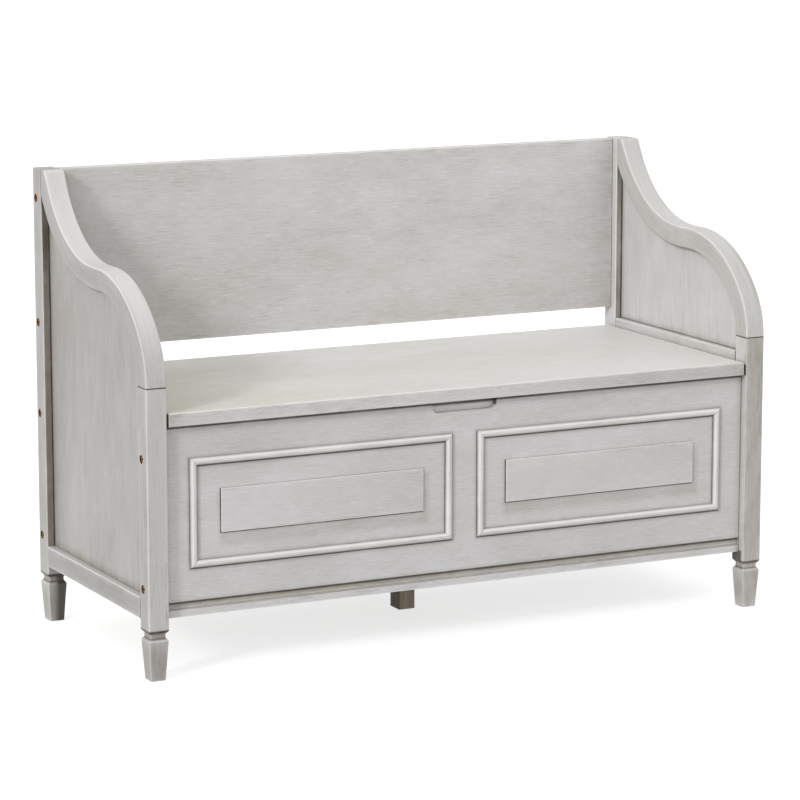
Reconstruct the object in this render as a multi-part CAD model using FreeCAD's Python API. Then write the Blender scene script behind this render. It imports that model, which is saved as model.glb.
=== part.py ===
import FreeCAD, Part
import math
import os

# Settle bench with a storage box under a hinged seat.
# Millimetres. X runs to the right, Y away from the viewer and Z up.
# The origin lies on the floor, under the middle of the bench.

os.makedirs("parts", exist_ok=True)

# Overall sizes
overall_width = 1080.0
overall_depth = 457.0
seat_height = 408.0

# Posts and their feet
post_width = 33.0
front_post_depth = 34.0
rear_post_depth = 36.0
post_edge_round = 2.0
foot_height = 61.5
neck_bottom_height = 66.5
neck_top_height = 72.0
post_bottom_height = 77.0
toe_inset = 4.5
flare_inset = 0.5
neck_inset = 4.1

# Arms: a sawn band that climbs from the front post to the rear post in an S
arm_joint_over_seat = 40.0
arm_shoulder_rise = 156.5
arm_crest_rise = 127.5
arm_front_radius = 121.0
arm_shoulder_radius = 200.0
arm_level_run = 26.7
arm_crest_flat = 17.0
arm_crest_round = 10.0
arm_edge_round = 2.0
joint_line = 0.7

# Side panels, held in grooves
side_panel_thickness = 8.0
side_panel_recess = 13.0
tongue_depth = 6.0
groove_clearance = 0.1
groove_end_gap = 0.3

# Rails of the two side frames
case_bottom_height = 92.5
side_rail_height = 32.5
seat_rail_thickness = 12.0
seat_rail_height = 85.0
seat_rail_over_seat = 14.0
rail_edge_round = 1.0

# Back: a backrest board above the seat and a lower panel behind the box
back_board_thickness = 18.0
back_board_inset = 4.0
back_slot_height = 31.7
backrest_top_drop = 1.5
board_edge_round = 1.5

# Front of the box
front_panel_recess = 14.0
front_panel_thickness = 15.0
front_rail_height = 11.8
front_rail_depth = 24.5
bottom_board_thickness = 11.0
bottom_board_recess = 4.0
panel_edge_round = 0.6

# Finger pocket in the top edge of the front panel
pocket_width = 113.0
pocket_height = 15.5
pocket_depth = 10.0
pocket_corner_radius = 11.0

# Moulded frames and raised fields on the front panel
frame_side_margin = 41.0
frame_middle_gap = 44.0
frame_top_margin = 48.5
frame_bottom_margin = 51.0
moulding_width = 12.0
moulding_height = 5.5
moulding_side_height = 1.4
field_inset = 50.7
field_thickness = 3.0
field_edge_round = 1.2

# Cleats and middle support under the bottom board
cleat_width = 20.0
hinge_cleat_width = 20.0
hinge_cleat_height = 40.0
hinge_cleat_screw_drop = 24.0
bearer_width = 60.0
centre_leg_width = 28.0
centre_leg_depth = 33.0
centre_leg_lift = 8.5

# Lid
lid_thickness = 21.0
lid_side_gap = 3.5
lid_front_inset = 1.5
lid_rear_overlap = 6.5
lid_gap = 3.0
lid_top_round = 2.5
lid_bottom_round = 1.5
bumper_radius = 6.0
bumper_shares = (0.24, 0.91)

# Butt hinges under the rear edge of the lid
hinge_count = 3
hinge_length = 70.0
hinge_spacing = 370.0
hinge_knuckle_radius = 3.0
hinge_knuckle_behind_lid = 3.5
hinge_leaf_thickness = 1.4
hinge_leaf_reach = 24.0
hinge_pin_radius = 1.5
hinge_knuckle_count = 5
hinge_knuckle_gap = 0.2
hinge_relief = 0.3
hinge_screw_spread = 25.0
hinge_outer_screw_back = 17.0
hinge_middle_screw_back = 12.0
running_clearance = 0.05

# Folding lid stays: each is a parallelogram with the lid.
# Forward and upward distances of the pivots from the hinge axis.
stay_case_pivot_forward = 55.0
stay_case_pivot_up = -35.0
stay_lid_pivot_forward = 150.0
stay_lid_pivot_up = -15.0
stay_bar_width = 14.0
stay_bar_thickness = 2.5
stay_plate_thickness = 2.0
stay_layer_gap = 0.4
stay_pin_radius = 3.0
stay_head_radius = 5.0
stay_head_thickness = 1.2
stay_head_gap = 0.2
stay_plate_length = 36.0
stay_flange_width = 22.0
stay_screw_half_spacing = 12.0
stay_ear_radius = 8.0

# Bolts with barrel nuts, from the posts into the ends of the boards
bolt_radius = 3.0
bolt_length = 55.0
bolt_head_radius = 5.6
bolt_head_height = 4.4
bolt_socket_width = 5.0
bolt_socket_depth = 3.0
bolt_sink_radius = 6.3
bolt_sink_depth = 6.0
bolt_hole_clearance = 0.2
bolt_from_panel_bottom = 24.7
bolt_from_panel_top = 45.0
bolt_from_board_edge = 46.0
nut_radius = 5.0
nut_length = 11.0
nut_depth = 20.0

# Dowels and wood screws
dowel_radius = 4.0
dowel_reach = 20.0
dowel_edge_inset = 6.5
small_dowel_radius = 3.0
small_dowel_reach = 15.0
small_dowel_inset = 17.0
wood_clearance = 0.05
dowel_end_gap = 0.3
screw_radius = 1.8
screw_head_radius = 3.4
screw_slot_width = 0.9
screw_slot_reach = 2.5
screw_slot_depth = 1.2
hinge_screw_length = 14.0
stay_screw_length = 11.0
floor_screw_length = 20.0
cleat_screw_length = 35.0
leg_screw_length = 70.0
leg_screw_radius = 2.8

# Places of the screws along a board, as shares of the room between its ends
floor_screw_shares = (-0.85, -0.3, 0.3, 0.85)
floor_side_screw_shares = (0.25, 0.75)
side_cleat_screw_shares = (0.1, 0.5, 0.9)
rear_cleat_screw_shares = (-0.7, -0.15, 0.15, 0.7)
hinge_cleat_screw_shares = (-0.9, -0.35, 0.35, 0.9)

# Planes and heights that the pieces share
x_out = overall_width / 2
x_in = x_out - post_width
y_front = -overall_depth / 2
y_rear = overall_depth / 2
y_front_in = y_front + front_post_depth
y_rear_in = y_rear - rear_post_depth
z_joint = seat_height + arm_joint_over_seat
z_level = z_joint + arm_shoulder_rise
z_top = z_level + arm_crest_rise
z_lid_bottom = seat_height - lid_thickness
z_panel_top = z_lid_bottom - lid_gap
z_board_bottom = case_bottom_height + front_rail_height
z_floor = z_board_bottom + bottom_board_thickness
z_side_rail_top = case_bottom_height + side_rail_height
z_groove_bottom = z_side_rail_top - tongue_depth - groove_end_gap
y_panel_front = y_front + front_panel_recess
y_panel_back = y_panel_front + front_panel_thickness
y_back_rear = y_rear - back_board_inset
y_back_front = y_back_rear - back_board_thickness
y_front_rail_back = y_panel_front + front_rail_depth
x_panel_out = x_out - side_panel_recess
x_panel_in = x_panel_out - side_panel_thickness
x_seat_rail_in = x_panel_in - seat_rail_thickness
x_side_in = min(x_in, x_seat_rail_in)
x_lid = x_side_in - lid_side_gap
y_lid_front = y_front + lid_front_inset
y_lid_rear = y_back_front + lid_rear_overlap
y_hinge = y_lid_rear + hinge_knuckle_behind_lid
z_hinge = z_panel_top + lid_gap / 2
z_backrest_bottom = seat_height + back_slot_height
z_backrest_top = z_top - backrest_top_drop
z_seat_rail_top = seat_height + seat_rail_over_seat
z_seat_rail_bottom = z_seat_rail_top - seat_rail_height

SIDES = (("left", -1), ("right", 1))
DOWN = FreeCAD.Vector(0, 0, -1)
UP = FreeCAD.Vector(0, 0, 1)
BACKWARDS = FreeCAD.Vector(0, 1, 0)
STAY_SCREW_STEPS = (-stay_screw_half_spacing, stay_screw_half_spacing)


def box(x0, x1, y0, y1, z0, z1):
    """Box between two corners, given in any order along X."""
    low, high = min(x0, x1), max(x0, x1)
    return Part.makeBox(high - low, y1 - y0, z1 - z0, FreeCAD.Vector(low, y0, z0))


def rod(radius, start, end):
    """Round bar from one point to another."""
    first = FreeCAD.Vector(*start)
    run = FreeCAD.Vector(*end) - first
    return Part.makeCylinder(radius, run.Length, first, run)


def union(shapes):
    """One solid from several that touch or overlap."""
    joined = shapes[0]
    for shape in shapes[1:]:
        joined = joined.fuse(shape)
    return joined.removeSplitter()


def less(shape, tools):
    """The shape with every tool cut away."""
    return shape.cut(list(tools)) if tools else shape


def rounded(shape, radius, chosen):
    """Round the edges for which chosen(edge) is true."""
    edges = [edge for edge in shape.Edges if chosen(edge)]
    return shape.makeFillet(radius, edges)


def spans(edge, axis):
    """True for a straight edge that runs along X, Y or Z (0, 1 or 2)."""
    size = edge.BoundBox
    lengths = (size.XLength, size.YLength, size.ZLength)
    return all(length < 1e-4 for i, length in enumerate(lengths) if i != axis)


def at(value, target):
    """True where two coordinates are the same."""
    return abs(value - target) < 1e-3


def save(name, solids):
    """Write one sub-part, made of one solid or of several like ones."""
    pieces = [piece for shape in solids for piece in shape.Solids]
    for piece in pieces:
        if not piece.isValid():
            raise ValueError(name + " isn't valid")
    shape = pieces[0] if len(pieces) == 1 else Part.makeCompound(pieces)
    shape.exportStep("parts/" + name + ".step")
    print(name, len(pieces), round(sum(piece.Volume for piece in pieces), 1))


# Fasteners, and the holes that they fill but for a clearance

def dowel_hole(start, end, radius):
    """Hole for a dowel, wider and longer by the clearances."""
    first = FreeCAD.Vector(*start)
    run = FreeCAD.Vector(*end) - first
    run.normalize()
    low = first - run * dowel_end_gap
    high = FreeCAD.Vector(*end) + run * dowel_end_gap
    return rod(radius + wood_clearance, low, high)


def countersunk(place, direction, length, radius, spread=0.0):
    """Countersunk body whose flat head lies at place; it runs along direction."""
    start = FreeCAD.Vector(*place)
    head_radius = screw_head_radius * radius / screw_radius
    head_height = head_radius - radius
    cone = Part.makeCone(head_radius + spread, radius + spread, head_height, start, direction)
    neck = start + direction * head_height
    shank = Part.makeCylinder(radius + spread, length - head_height, neck, direction)
    return union([cone, shank])


def screw(place, direction, length, radius=screw_radius):
    """Countersunk wood screw with a crossed slot."""
    body = countersunk(place, direction, length, radius)
    start = FreeCAD.Vector(*place)
    depth_axis = [abs(part) > 0.5 for part in direction].index(True)
    slots = []
    for long_axis in (axis for axis in (0, 1, 2) if axis != depth_axis):
        half = [screw_slot_width / 2] * 3
        half[long_axis] = screw_slot_reach * radius / screw_radius
        half[depth_axis] = screw_slot_depth
        corner = start - FreeCAD.Vector(*half)
        slots.append(Part.makeBox(2 * half[0], 2 * half[1], 2 * half[2], corner))
    return less(body, slots)


def screw_hole(place, direction, length, radius=screw_radius):
    """Countersunk hole that the screw fills but for its clearance."""
    return countersunk(place, direction, length + dowel_end_gap, radius, wood_clearance)


# Where each fastener goes

back_bolts = (z_floor + bolt_from_panel_bottom, z_panel_top - bolt_from_panel_top,
              z_backrest_bottom + bolt_from_board_edge, z_backrest_top - bolt_from_board_edge)
front_bolts = back_bolts[:2]
y_back_bolt = (y_back_front + y_back_rear) / 2
y_front_bolt = (y_panel_front + y_panel_back) / 2


def bolt_places():
    """Side, Y, Z and the face that its barrel nut is put in from, for every bolt."""
    for _, side in SIDES:
        for height in back_bolts:
            yield side, y_back_bolt, height, y_back_rear
        for height in front_bolts:
            yield side, y_front_bolt, height, y_panel_back


def bolt(side, y, z):
    """Socket bolt, its head sunk below the outer face of the post."""
    seat = x_out - bolt_sink_depth
    head = rod(bolt_head_radius, (side * seat, y, z), (side * (seat + bolt_head_height), y, z))
    shank = rod(bolt_radius, (side * seat, y, z), (side * (seat - bolt_length), y, z))
    top = seat + bolt_head_height
    reach = bolt_socket_width / math.sqrt(3)
    turns = [math.radians(60 * corner) for corner in range(7)]
    corners = [FreeCAD.Vector(side * top, y + reach * math.cos(t), z + reach * math.sin(t)) for t in turns]
    inwards = FreeCAD.Vector(-side * bolt_socket_depth, 0, 0)
    socket = Part.Face(Part.makePolygon(corners)).extrude(inwards)
    return less(union([head, shank]), [socket])


def bolt_holes(side, y, z):
    """Clear hole through post and board end, with the counterbore for the head."""
    seat = x_out - bolt_sink_depth
    end = seat - bolt_length - dowel_end_gap
    clear = rod(bolt_radius + bolt_hole_clearance, (side * (x_out + 1), y, z), (side * end, y, z))
    sink = rod(bolt_sink_radius, (side * seat, y, z), (side * (x_out + 1), y, z))
    return [clear, sink]


def barrel_nut(side, y, z):
    """Cross dowel with the thread hole that the bolt ends in."""
    x = side * (x_in - nut_depth)
    body = rod(nut_radius, (x, y - nut_length / 2, z), (x, y + nut_length / 2, z))
    thread = rod(bolt_radius + wood_clearance, (x - 2 * nut_radius, y, z), (x + 2 * nut_radius, y, z))
    return less(body, [thread])


def nut_hole(side, y, z, y_face):
    """Blind hole for the barrel nut, from the hidden face of the board."""
    x = side * (x_in - nut_depth)
    far = y - math.copysign(nut_length / 2, y_face - y)
    return rod(nut_radius + wood_clearance, (x, far, z), (x, y_face, z))


def bolt_holes_at(side_wanted, y_wanted):
    """Bolt holes of the post on one side whose bolts lie at one Y."""
    found = []
    for side, y, z, _ in bolt_places():
        if side == side_wanted and at(y, y_wanted):
            found += bolt_holes(side, y, z)
    return found


def board_holes(y_wanted, z_low, z_high):
    """Bolt and nut holes of a board that lies between two heights."""
    found = []
    for side, y, z, y_face in bolt_places():
        if at(y, y_wanted) and z_low < z < z_high:
            found += bolt_holes(side, y, z)
            found.append(nut_hole(side, y, z, y_face))
    return found


def dowel_columns(side):
    """The two X places, one each side of the panel groove, that dowels use."""
    return (side * (x_in + dowel_edge_inset), side * (x_out - dowel_edge_inset))


def arm_dowel_lines(side):
    """Ends of the four dowels that hold one arm: two upright, two along Y."""
    y_post = y_front + front_post_depth / 2
    z_end = z_top - front_post_depth / 2
    lines = []
    for x in dowel_columns(side):
        lines.append(((x, y_post, z_joint - dowel_reach), (x, y_post, z_joint + dowel_reach)))
        lines.append(((x, y_rear_in - dowel_reach, z_end), (x, y_rear_in + dowel_reach, z_end)))
    return lines


def side_rail_dowel_lines(side):
    """Ends of the four dowels of one lower side rail."""
    z = case_bottom_height + (side_rail_height - tongue_depth) / 2
    lines = []
    for x in dowel_columns(side):
        for y in (y_front_in, y_rear_in):
            lines.append(((x, y - dowel_reach, z), (x, y + dowel_reach, z)))
    return lines


def seat_rail_dowel_lines(side):
    """Ends of the four thin dowels of one seat rail, midway in what it shares with the posts."""
    x = side * (max(x_in, x_seat_rail_in) + x_panel_in) / 2
    lines = []
    for z in (z_seat_rail_bottom + small_dowel_inset, z_seat_rail_top - small_dowel_inset):
        for y in (y_front_in, y_rear_in):
            lines.append(((x, y - small_dowel_reach, z), (x, y + small_dowel_reach, z)))
    return lines


def front_rail_dowel_line(side):
    """Ends of the thin dowel at one end of the front bottom rail."""
    y = (y_panel_front + y_front_in) / 2
    z = case_bottom_height + front_rail_height / 2
    return ((side * (x_in - small_dowel_reach), y, z), (side * (x_in + small_dowel_reach), y, z))


# Posts

def section(x_low, x_high, y_low, y_high, z, inset, radius):
    """Level rectangle with rounded corners, drawn in from the post's faces by inset."""
    x0, x1 = x_low + inset, x_high - inset
    y0, y1 = y_low + inset, y_high - inset
    centres = ((x1 - radius, y1 - radius), (x0 + radius, y1 - radius),
               (x0 + radius, y0 + radius), (x1 - radius, y0 + radius))
    arcs = []
    for quarter, (cx, cy) in enumerate(centres):
        angles = [math.radians(90 * quarter + step) for step in (0, 45, 90)]
        arc = [FreeCAD.Vector(cx + radius * math.cos(a), cy + radius * math.sin(a), z) for a in angles]
        arcs.append(arc)
    edges = []
    for i, arc in enumerate(arcs):
        edges.append(Part.Arc(*arc).toShape())
        edges.append(Part.LineSegment(arc[2], arcs[(i + 1) % 4][0]).toShape())
    return Part.Wire(edges)


def post(side, y_low, y_high, z_high):
    """Square post with a turned-in neck and a foot that tapers to the floor."""
    x_low, x_high = sorted((side * x_in, side * x_out))
    steps = ((0, toe_inset), (foot_height, flare_inset), (neck_bottom_height, neck_inset),
             (neck_top_height, neck_inset), (post_bottom_height, 0), (z_high, 0))
    pieces = []
    for (z0, inset0), (z1, inset1) in zip(steps, steps[1:]):
        low = section(x_low, x_high, y_low, y_high, z0, inset0, post_edge_round)
        high = section(x_low, x_high, y_low, y_high, z1, inset1, post_edge_round)
        pieces.append(Part.makeLoft([low, high], True, True))
    return union(pieces)


def panel_groove(side, y0, y1, z0, z1):
    """Groove for the side panel, in a post or in the lower side rail."""
    x0 = side * (x_panel_in - groove_clearance)
    x1 = side * (x_panel_out + groove_clearance)
    return box(x0, x1, y0, y1, z0, z1)


def frame_dowel_holes(side):
    """Holes of all the dowels of one side frame, which both of its posts share."""
    thick = arm_dowel_lines(side) + side_rail_dowel_lines(side)
    thin = seat_rail_dowel_lines(side) + [front_rail_dowel_line(side)]
    return ([dowel_hole(*line, dowel_radius) for line in thick]
            + [dowel_hole(*line, small_dowel_radius) for line in thin])


def front_post(side):
    """Front post, up to the joint with the arm."""
    body = post(side, y_front, y_front_in, z_joint)
    body = body.makeChamfer(joint_line, [edge for edge in body.Edges if at(edge.BoundBox.ZMin, z_joint)])
    y_groove = y_front_in - tongue_depth - groove_end_gap
    groove = panel_groove(side, y_groove, y_front_in + 1, z_groove_bottom, z_joint + 1)
    return less(body, [groove] + bolt_holes_at(side, y_front_bolt) + frame_dowel_holes(side))


def rear_post(side):
    """Rear post, up to the crest of the arm."""
    body = post(side, y_rear_in, y_rear, z_top)
    body = rounded(body, board_edge_round, lambda edge: at(edge.BoundBox.ZMin, z_top))
    y_groove = y_rear_in + tongue_depth + groove_end_gap
    z_groove_top = arm_curve_height(arm_band - tongue_depth) + groove_end_gap
    groove = panel_groove(side, y_rear_in - 1, y_groove, z_groove_bottom, z_groove_top)
    return less(body, [groove] + bolt_holes_at(side, y_back_bolt) + frame_dowel_holes(side))


# Arms: the top edge is two arcs up from the front post, a level stretch,
# and one hollow arc up to the crest. Every other edge is that line moved
# inwards by the same distance all along.

arm_band = front_post_depth
arm_radius_step = arm_shoulder_radius - arm_front_radius
arm_turn = math.acos((arm_shoulder_radius - arm_shoulder_rise) / arm_radius_step)
y_shoulder = y_front + arm_front_radius + arm_radius_step * math.sin(arm_turn)
y_hollow = y_shoulder + arm_level_run
y_crest = y_rear_in - arm_crest_flat
arm_hollow_radius = ((y_crest - y_hollow) ** 2 + arm_crest_rise ** 2) / (2 * arm_crest_rise)


def arm_curve_height(offset):
    """Height at which the offset line of the arm meets the rear post."""
    reach = arm_hollow_radius + offset
    return z_level + arm_hollow_radius - math.sqrt(reach ** 2 - (y_rear_in - y_hollow) ** 2)


def around(centre_y, centre_z, radius, degrees):
    """Point at an angle on a circle in the side view; 0 points to the rear, 90 up."""
    turn = math.radians(degrees)
    return FreeCAD.Vector(0, centre_y + radius * math.cos(turn), centre_z + radius * math.sin(turn))


def arc_edge(centre_y, centre_z, radius, start, end):
    """Arc between two angles in the side view."""
    angles = (start, (start + end) / 2, end)
    return Part.Arc(*[around(centre_y, centre_z, radius, angle) for angle in angles]).toShape()


def arm_line(offset, y_end):
    """Edges of the S line, offset inwards, from the front joint to y_end at the rear."""
    turn = math.degrees(arm_turn)
    front = (y_front + arm_front_radius, z_joint, arm_front_radius - offset)
    shoulder = (y_shoulder, z_level - arm_shoulder_radius, arm_shoulder_radius - offset)
    hollow = (y_hollow, z_level + arm_hollow_radius, arm_hollow_radius + offset)
    last = -90 + math.degrees(math.asin((y_end - y_hollow) / hollow[2]))
    edges = [arc_edge(*front, 180, 90 + turn), arc_edge(*shoulder, 90 + turn, 90)]
    edges.append(Part.LineSegment(around(*shoulder, 90), around(*hollow, -90)).toShape())
    edges.append(arc_edge(*hollow, -90, last))
    return edges


def closed_profile(edges, points):
    """Wire of the edges, closed through further points in the side view."""
    start = edges[0].Vertexes[0].Point
    end = edges[-1].Vertexes[-1].Point
    chain = [end] + [FreeCAD.Vector(0, y, z) for y, z in points] + [start]
    lines = [Part.LineSegment(a, b).toShape() for a, b in zip(chain, chain[1:])]
    return Part.Wire(Part.__sortEdges__(edges + lines))


def slab(wire, x_low, x_high):
    """Side-view outline given a thickness along X."""
    face = Part.Face(wire)
    face.translate(FreeCAD.Vector(x_low, 0, 0))
    return face.extrude(FreeCAD.Vector(x_high - x_low, 0, 0))


def arm(side):
    """S-shaped arm with a rounded crest, rounded edges and the panel groove."""
    x_low, x_high = sorted((side * x_in, side * x_out))
    lower = arm_line(arm_band, y_rear_in)
    upper = arm_line(0, y_crest)
    corner = FreeCAD.Vector(0, y_rear_in, z_top)
    ends = [Part.LineSegment(lower[0].Vertexes[0].Point, upper[0].Vertexes[0].Point).toShape(),
            Part.LineSegment(upper[-1].Vertexes[-1].Point, corner).toShape(),
            Part.LineSegment(corner, lower[-1].Vertexes[-1].Point).toShape()]
    body = slab(Part.Wire(Part.__sortEdges__(lower + upper + ends)), x_low, x_high)
    body = rounded(body, arm_crest_round,
                   lambda edge: spans(edge, 0) and at(edge.BoundBox.YMin, y_crest))
    body = rounded(body, arm_edge_round,
                   lambda edge: not spans(edge, 0) and at(edge.BoundBox.XLength, 0)
                   and not at(edge.BoundBox.ZMax, z_joint) and not at(edge.BoundBox.YMin, y_rear_in))
    groove_edges = arm_line(arm_band - tongue_depth - groove_end_gap, y_rear_in)
    outline = closed_profile(groove_edges, ((y_rear_in + 1, groove_edges[-1].Vertexes[-1].Point.z),
                                            (y_rear_in + 1, z_joint - 1),
                                            (groove_edges[0].Vertexes[0].Point.y, z_joint - 1)))
    x_groove = sorted((side * (x_panel_in - groove_clearance), side * (x_panel_out + groove_clearance)))
    tools = [slab(outline, *x_groove)]
    tools += [dowel_hole(*line, dowel_radius) for line in arm_dowel_lines(side)]
    return less(body, tools)


def side_panel(side):
    """Side panel with a curved top, its edges in the grooves of posts, arm and rail."""
    edges = arm_line(arm_band - tongue_depth, y_rear_in)
    z_end = edges[-1].Vertexes[-1].Point.z
    y_start = edges[0].Vertexes[0].Point.y
    z_low = z_side_rail_top - tongue_depth
    outline = closed_profile(edges, ((y_rear_in + tongue_depth, z_end), (y_rear_in + tongue_depth, z_low),
                                     (y_start, z_low)))
    return slab(outline, *sorted((side * x_panel_in, side * x_panel_out)))


# Rails of the side frames

def lower_side_rail(side):
    """Bottom rail of a side frame, flush with the outer faces of the posts."""
    body = box(side * x_in, side * x_out, y_front_in, y_rear_in, case_bottom_height, z_side_rail_top)
    body = rounded(body, rail_edge_round, lambda edge: spans(edge, 1))
    tools = [panel_groove(side, y_front_in - 1, y_rear_in + 1, z_groove_bottom, z_side_rail_top + 1)]
    tools += [dowel_hole(*line, dowel_radius) for line in side_rail_dowel_lines(side)]
    tools += [screw_hole(*place) for place in side_cleat_screws(side)]
    return less(body, tools)


def seat_side_rail(side):
    """Inner rail beside the seat, against the inner face of the side panel."""
    body = box(side * x_seat_rail_in, side * x_panel_in, y_front_in, y_rear_in,
               z_seat_rail_bottom, z_seat_rail_top)
    body = rounded(body, rail_edge_round,
                   lambda edge: spans(edge, 1) and at(edge.BoundBox.ZMin, z_seat_rail_top))
    tools = [dowel_hole(*line, small_dowel_radius) for line in seat_rail_dowel_lines(side)]
    tools += [screw_hole(*place) for place in stay_case_screw_places(side)]
    return less(body, tools)


# Boards of the back and of the box

def backrest_board():
    """Wide board between the rear posts, above the open slot."""
    body = box(-x_in, x_in, y_back_front, y_back_rear, z_backrest_bottom, z_backrest_top)
    body = rounded(body, board_edge_round, lambda edge: spans(edge, 0))
    return less(body, board_holes(y_back_bolt, z_backrest_bottom, z_backrest_top))


def lower_back_panel():
    """Back of the storage box, relieved under the hinge knuckles."""
    body = box(-x_in, x_in, y_back_front, y_back_rear, case_bottom_height, z_panel_top)
    tools = board_holes(y_back_bolt, case_bottom_height, z_panel_top)
    half = hinge_length / 2 + hinge_relief
    tools += [hinge_rod(x, half, hinge_knuckle_radius + hinge_relief) for x in hinge_places()]
    tools += [screw_hole(*place) for place in back_cleat_screws() + hinge_cleat_screws()]
    return less(body, tools)


def finger_pocket():
    """Blind pocket, open at the top edge, with rounded lower corners."""
    half = pocket_width / 2
    z_low = z_panel_top - pocket_height
    blank = box(-half, half, y_panel_front - 1, y_panel_front + pocket_depth, z_low, z_panel_top + 1)
    return rounded(blank, pocket_corner_radius,
                   lambda edge: spans(edge, 1) and at(edge.BoundBox.ZMin, z_low))


def front_panel():
    """Front of the storage box, with the finger pocket."""
    body = box(-x_in, x_in, y_panel_front, y_panel_back, z_floor, z_panel_top)
    body = rounded(body, panel_edge_round,
                   lambda edge: spans(edge, 0) and at(edge.BoundBox.YMin, y_panel_front))
    return less(body, [finger_pocket()] + board_holes(y_front_bolt, z_floor, z_panel_top))


def bottom_board():
    """Floor of the storage box; its front edge shows under the front panel."""
    body = box(-x_in, x_in, y_panel_front + bottom_board_recess, y_back_front, z_board_bottom, z_floor)
    tools = [screw_hole(*place) for place in floor_screw_places()]
    tools.append(screw_hole(*leg_screw_place()))
    return less(body, tools)


def front_bottom_rail():
    """Rail under the front edge of the bottom board."""
    body = box(-x_in, x_in, y_panel_front, y_front_rail_back, case_bottom_height, z_board_bottom)
    body = rounded(body, panel_edge_round,
                   lambda edge: spans(edge, 0) and at(edge.BoundBox.YMin, y_panel_front))
    tools = [dowel_hole(*front_rail_dowel_line(side), small_dowel_radius) for _, side in SIDES]
    tools += [screw_hole(*place) for place in floor_screw_places()]
    return less(body, tools)


# Cleats under the floor, and the middle support

y_rear_cleat_front = y_back_front - front_rail_depth


def floor_screw_places():
    """Screws down through the bottom board into the rail, cleats and bearer."""
    x_side = x_in - cleat_width / 2
    y_rail = (y_panel_back + y_front_rail_back) / 2
    y_cleat = (y_rear_cleat_front + y_back_front) / 2
    spots = [(share * x_in, y) for share in floor_screw_shares for y in (y_rail, y_cleat)]
    for share in floor_side_screw_shares:
        y = y_front_rail_back + share * (y_rear_cleat_front - y_front_rail_back)
        spots += [(-x_side, y), (x_side, y), (0, y)]
    return [((x, y, z_floor), DOWN, floor_screw_length) for x, y in spots]


def side_cleat_screws(side):
    """Screws from a side cleat outwards into the lower side rail."""
    z = case_bottom_height + front_rail_height / 2
    places = []
    for share in side_cleat_screw_shares:
        y = y_front_rail_back + share * (y_rear_cleat_front - y_front_rail_back)
        place = (side * (x_in - cleat_width), y, z)
        places.append((place, FreeCAD.Vector(side, 0, 0), cleat_screw_length))
    return places


def back_cleat_screws():
    """Screws from the rear cleat into the lower back panel."""
    z = case_bottom_height + front_rail_height / 2
    return [((share * x_in, y_rear_cleat_front, z), BACKWARDS, cleat_screw_length)
            for share in rear_cleat_screw_shares]


def hinge_cleat_screws():
    """Screws from the hinge cleat into the lower back panel."""
    z = z_panel_top - hinge_cleat_screw_drop
    y = y_back_front - hinge_cleat_width
    return [((share * x_in, y, z), BACKWARDS, cleat_screw_length) for share in hinge_cleat_screw_shares]


def leg_screw_place():
    """Long screw down through board and bearer into the centre leg."""
    return ((0, 0, z_floor), DOWN, leg_screw_length, leg_screw_radius)


def side_cleat(side):
    """Cleat along the inside of a lower side rail."""
    body = box(side * (x_in - cleat_width), side * x_in, y_front_rail_back, y_rear_cleat_front,
               case_bottom_height, z_board_bottom)
    return less(body, [screw_hole(*place) for place in side_cleat_screws(side) + floor_screw_places()])


def rear_cleat():
    """Cleat along the foot of the lower back panel."""
    body = box(-x_in, x_in, y_rear_cleat_front, y_back_front, case_bottom_height, z_board_bottom)
    return less(body, [screw_hole(*place) for place in back_cleat_screws() + floor_screw_places()])


def hinge_cleat():
    """Cleat that widens the top of the lower back panel for the hinges."""
    body = box(-x_side_in, x_side_in, y_back_front - hinge_cleat_width, y_back_front,
               z_panel_top - hinge_cleat_height, z_panel_top)
    screws = hinge_cleat_screws() + hinge_case_screw_places()
    return less(body, [screw_hole(*place) for place in screws])


def centre_bearer():
    """Bearer from front to back under the middle of the bottom board."""
    body = box(-bearer_width / 2, bearer_width / 2, y_front_rail_back, y_rear_cleat_front,
               case_bottom_height, z_board_bottom)
    tools = [screw_hole(*place) for place in floor_screw_places()]
    tools.append(screw_hole(*leg_screw_place()))
    return less(body, tools)


def centre_leg():
    """Plain square leg under the bearer, a little short of the floor."""
    body = box(-centre_leg_width / 2, centre_leg_width / 2, -centre_leg_depth / 2, centre_leg_depth / 2,
               centre_leg_lift, case_bottom_height)
    body = rounded(body, rail_edge_round, lambda edge: spans(edge, 2))
    return less(body, [screw_hole(*leg_screw_place())])


# Moulded frames and raised fields

def frame_outline(side):
    """Outer corners of one moulded frame: x_low, x_high, z_low, z_high."""
    near = frame_middle_gap / 2
    far = x_in - frame_side_margin
    x_low, x_high = sorted((side * near, side * far))
    return x_low, x_high, z_floor + frame_bottom_margin, z_panel_top - frame_top_margin


def moulding_bar(length):
    """Half-round moulding along X; its back lies on Y = 0 and its outer edge on Z = 0."""
    side_y = -moulding_side_height
    middle = (-moulding_height, moulding_width / 2)
    points = ((0, 0), (side_y, 0), middle, (side_y, moulding_width), (0, moulding_width))
    a, b, c, d, e = [FreeCAD.Vector(0, y, z) for y, z in points]
    edges = [Part.LineSegment(a, b).toShape(), Part.Arc(b, c, d).toShape(),
             Part.LineSegment(d, e).toShape(), Part.LineSegment(e, a).toShape()]
    return Part.Face(Part.Wire(edges)).extrude(FreeCAD.Vector(length, 0, 0))


def moulding_strip(length):
    """Strip of moulding with a mitre at each end; its inner side faces +Z."""
    reach = moulding_width
    corners = ((0, 0), (reach, reach), (length - reach, reach), (length, 0), (0, 0))
    points = [FreeCAD.Vector(x, -2 * moulding_height, z) for x, z in corners]
    mitred = Part.Face(Part.makePolygon(points)).extrude(FreeCAD.Vector(0, 4 * moulding_height, 0))
    return moulding_bar(length).common(mitred)


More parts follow.
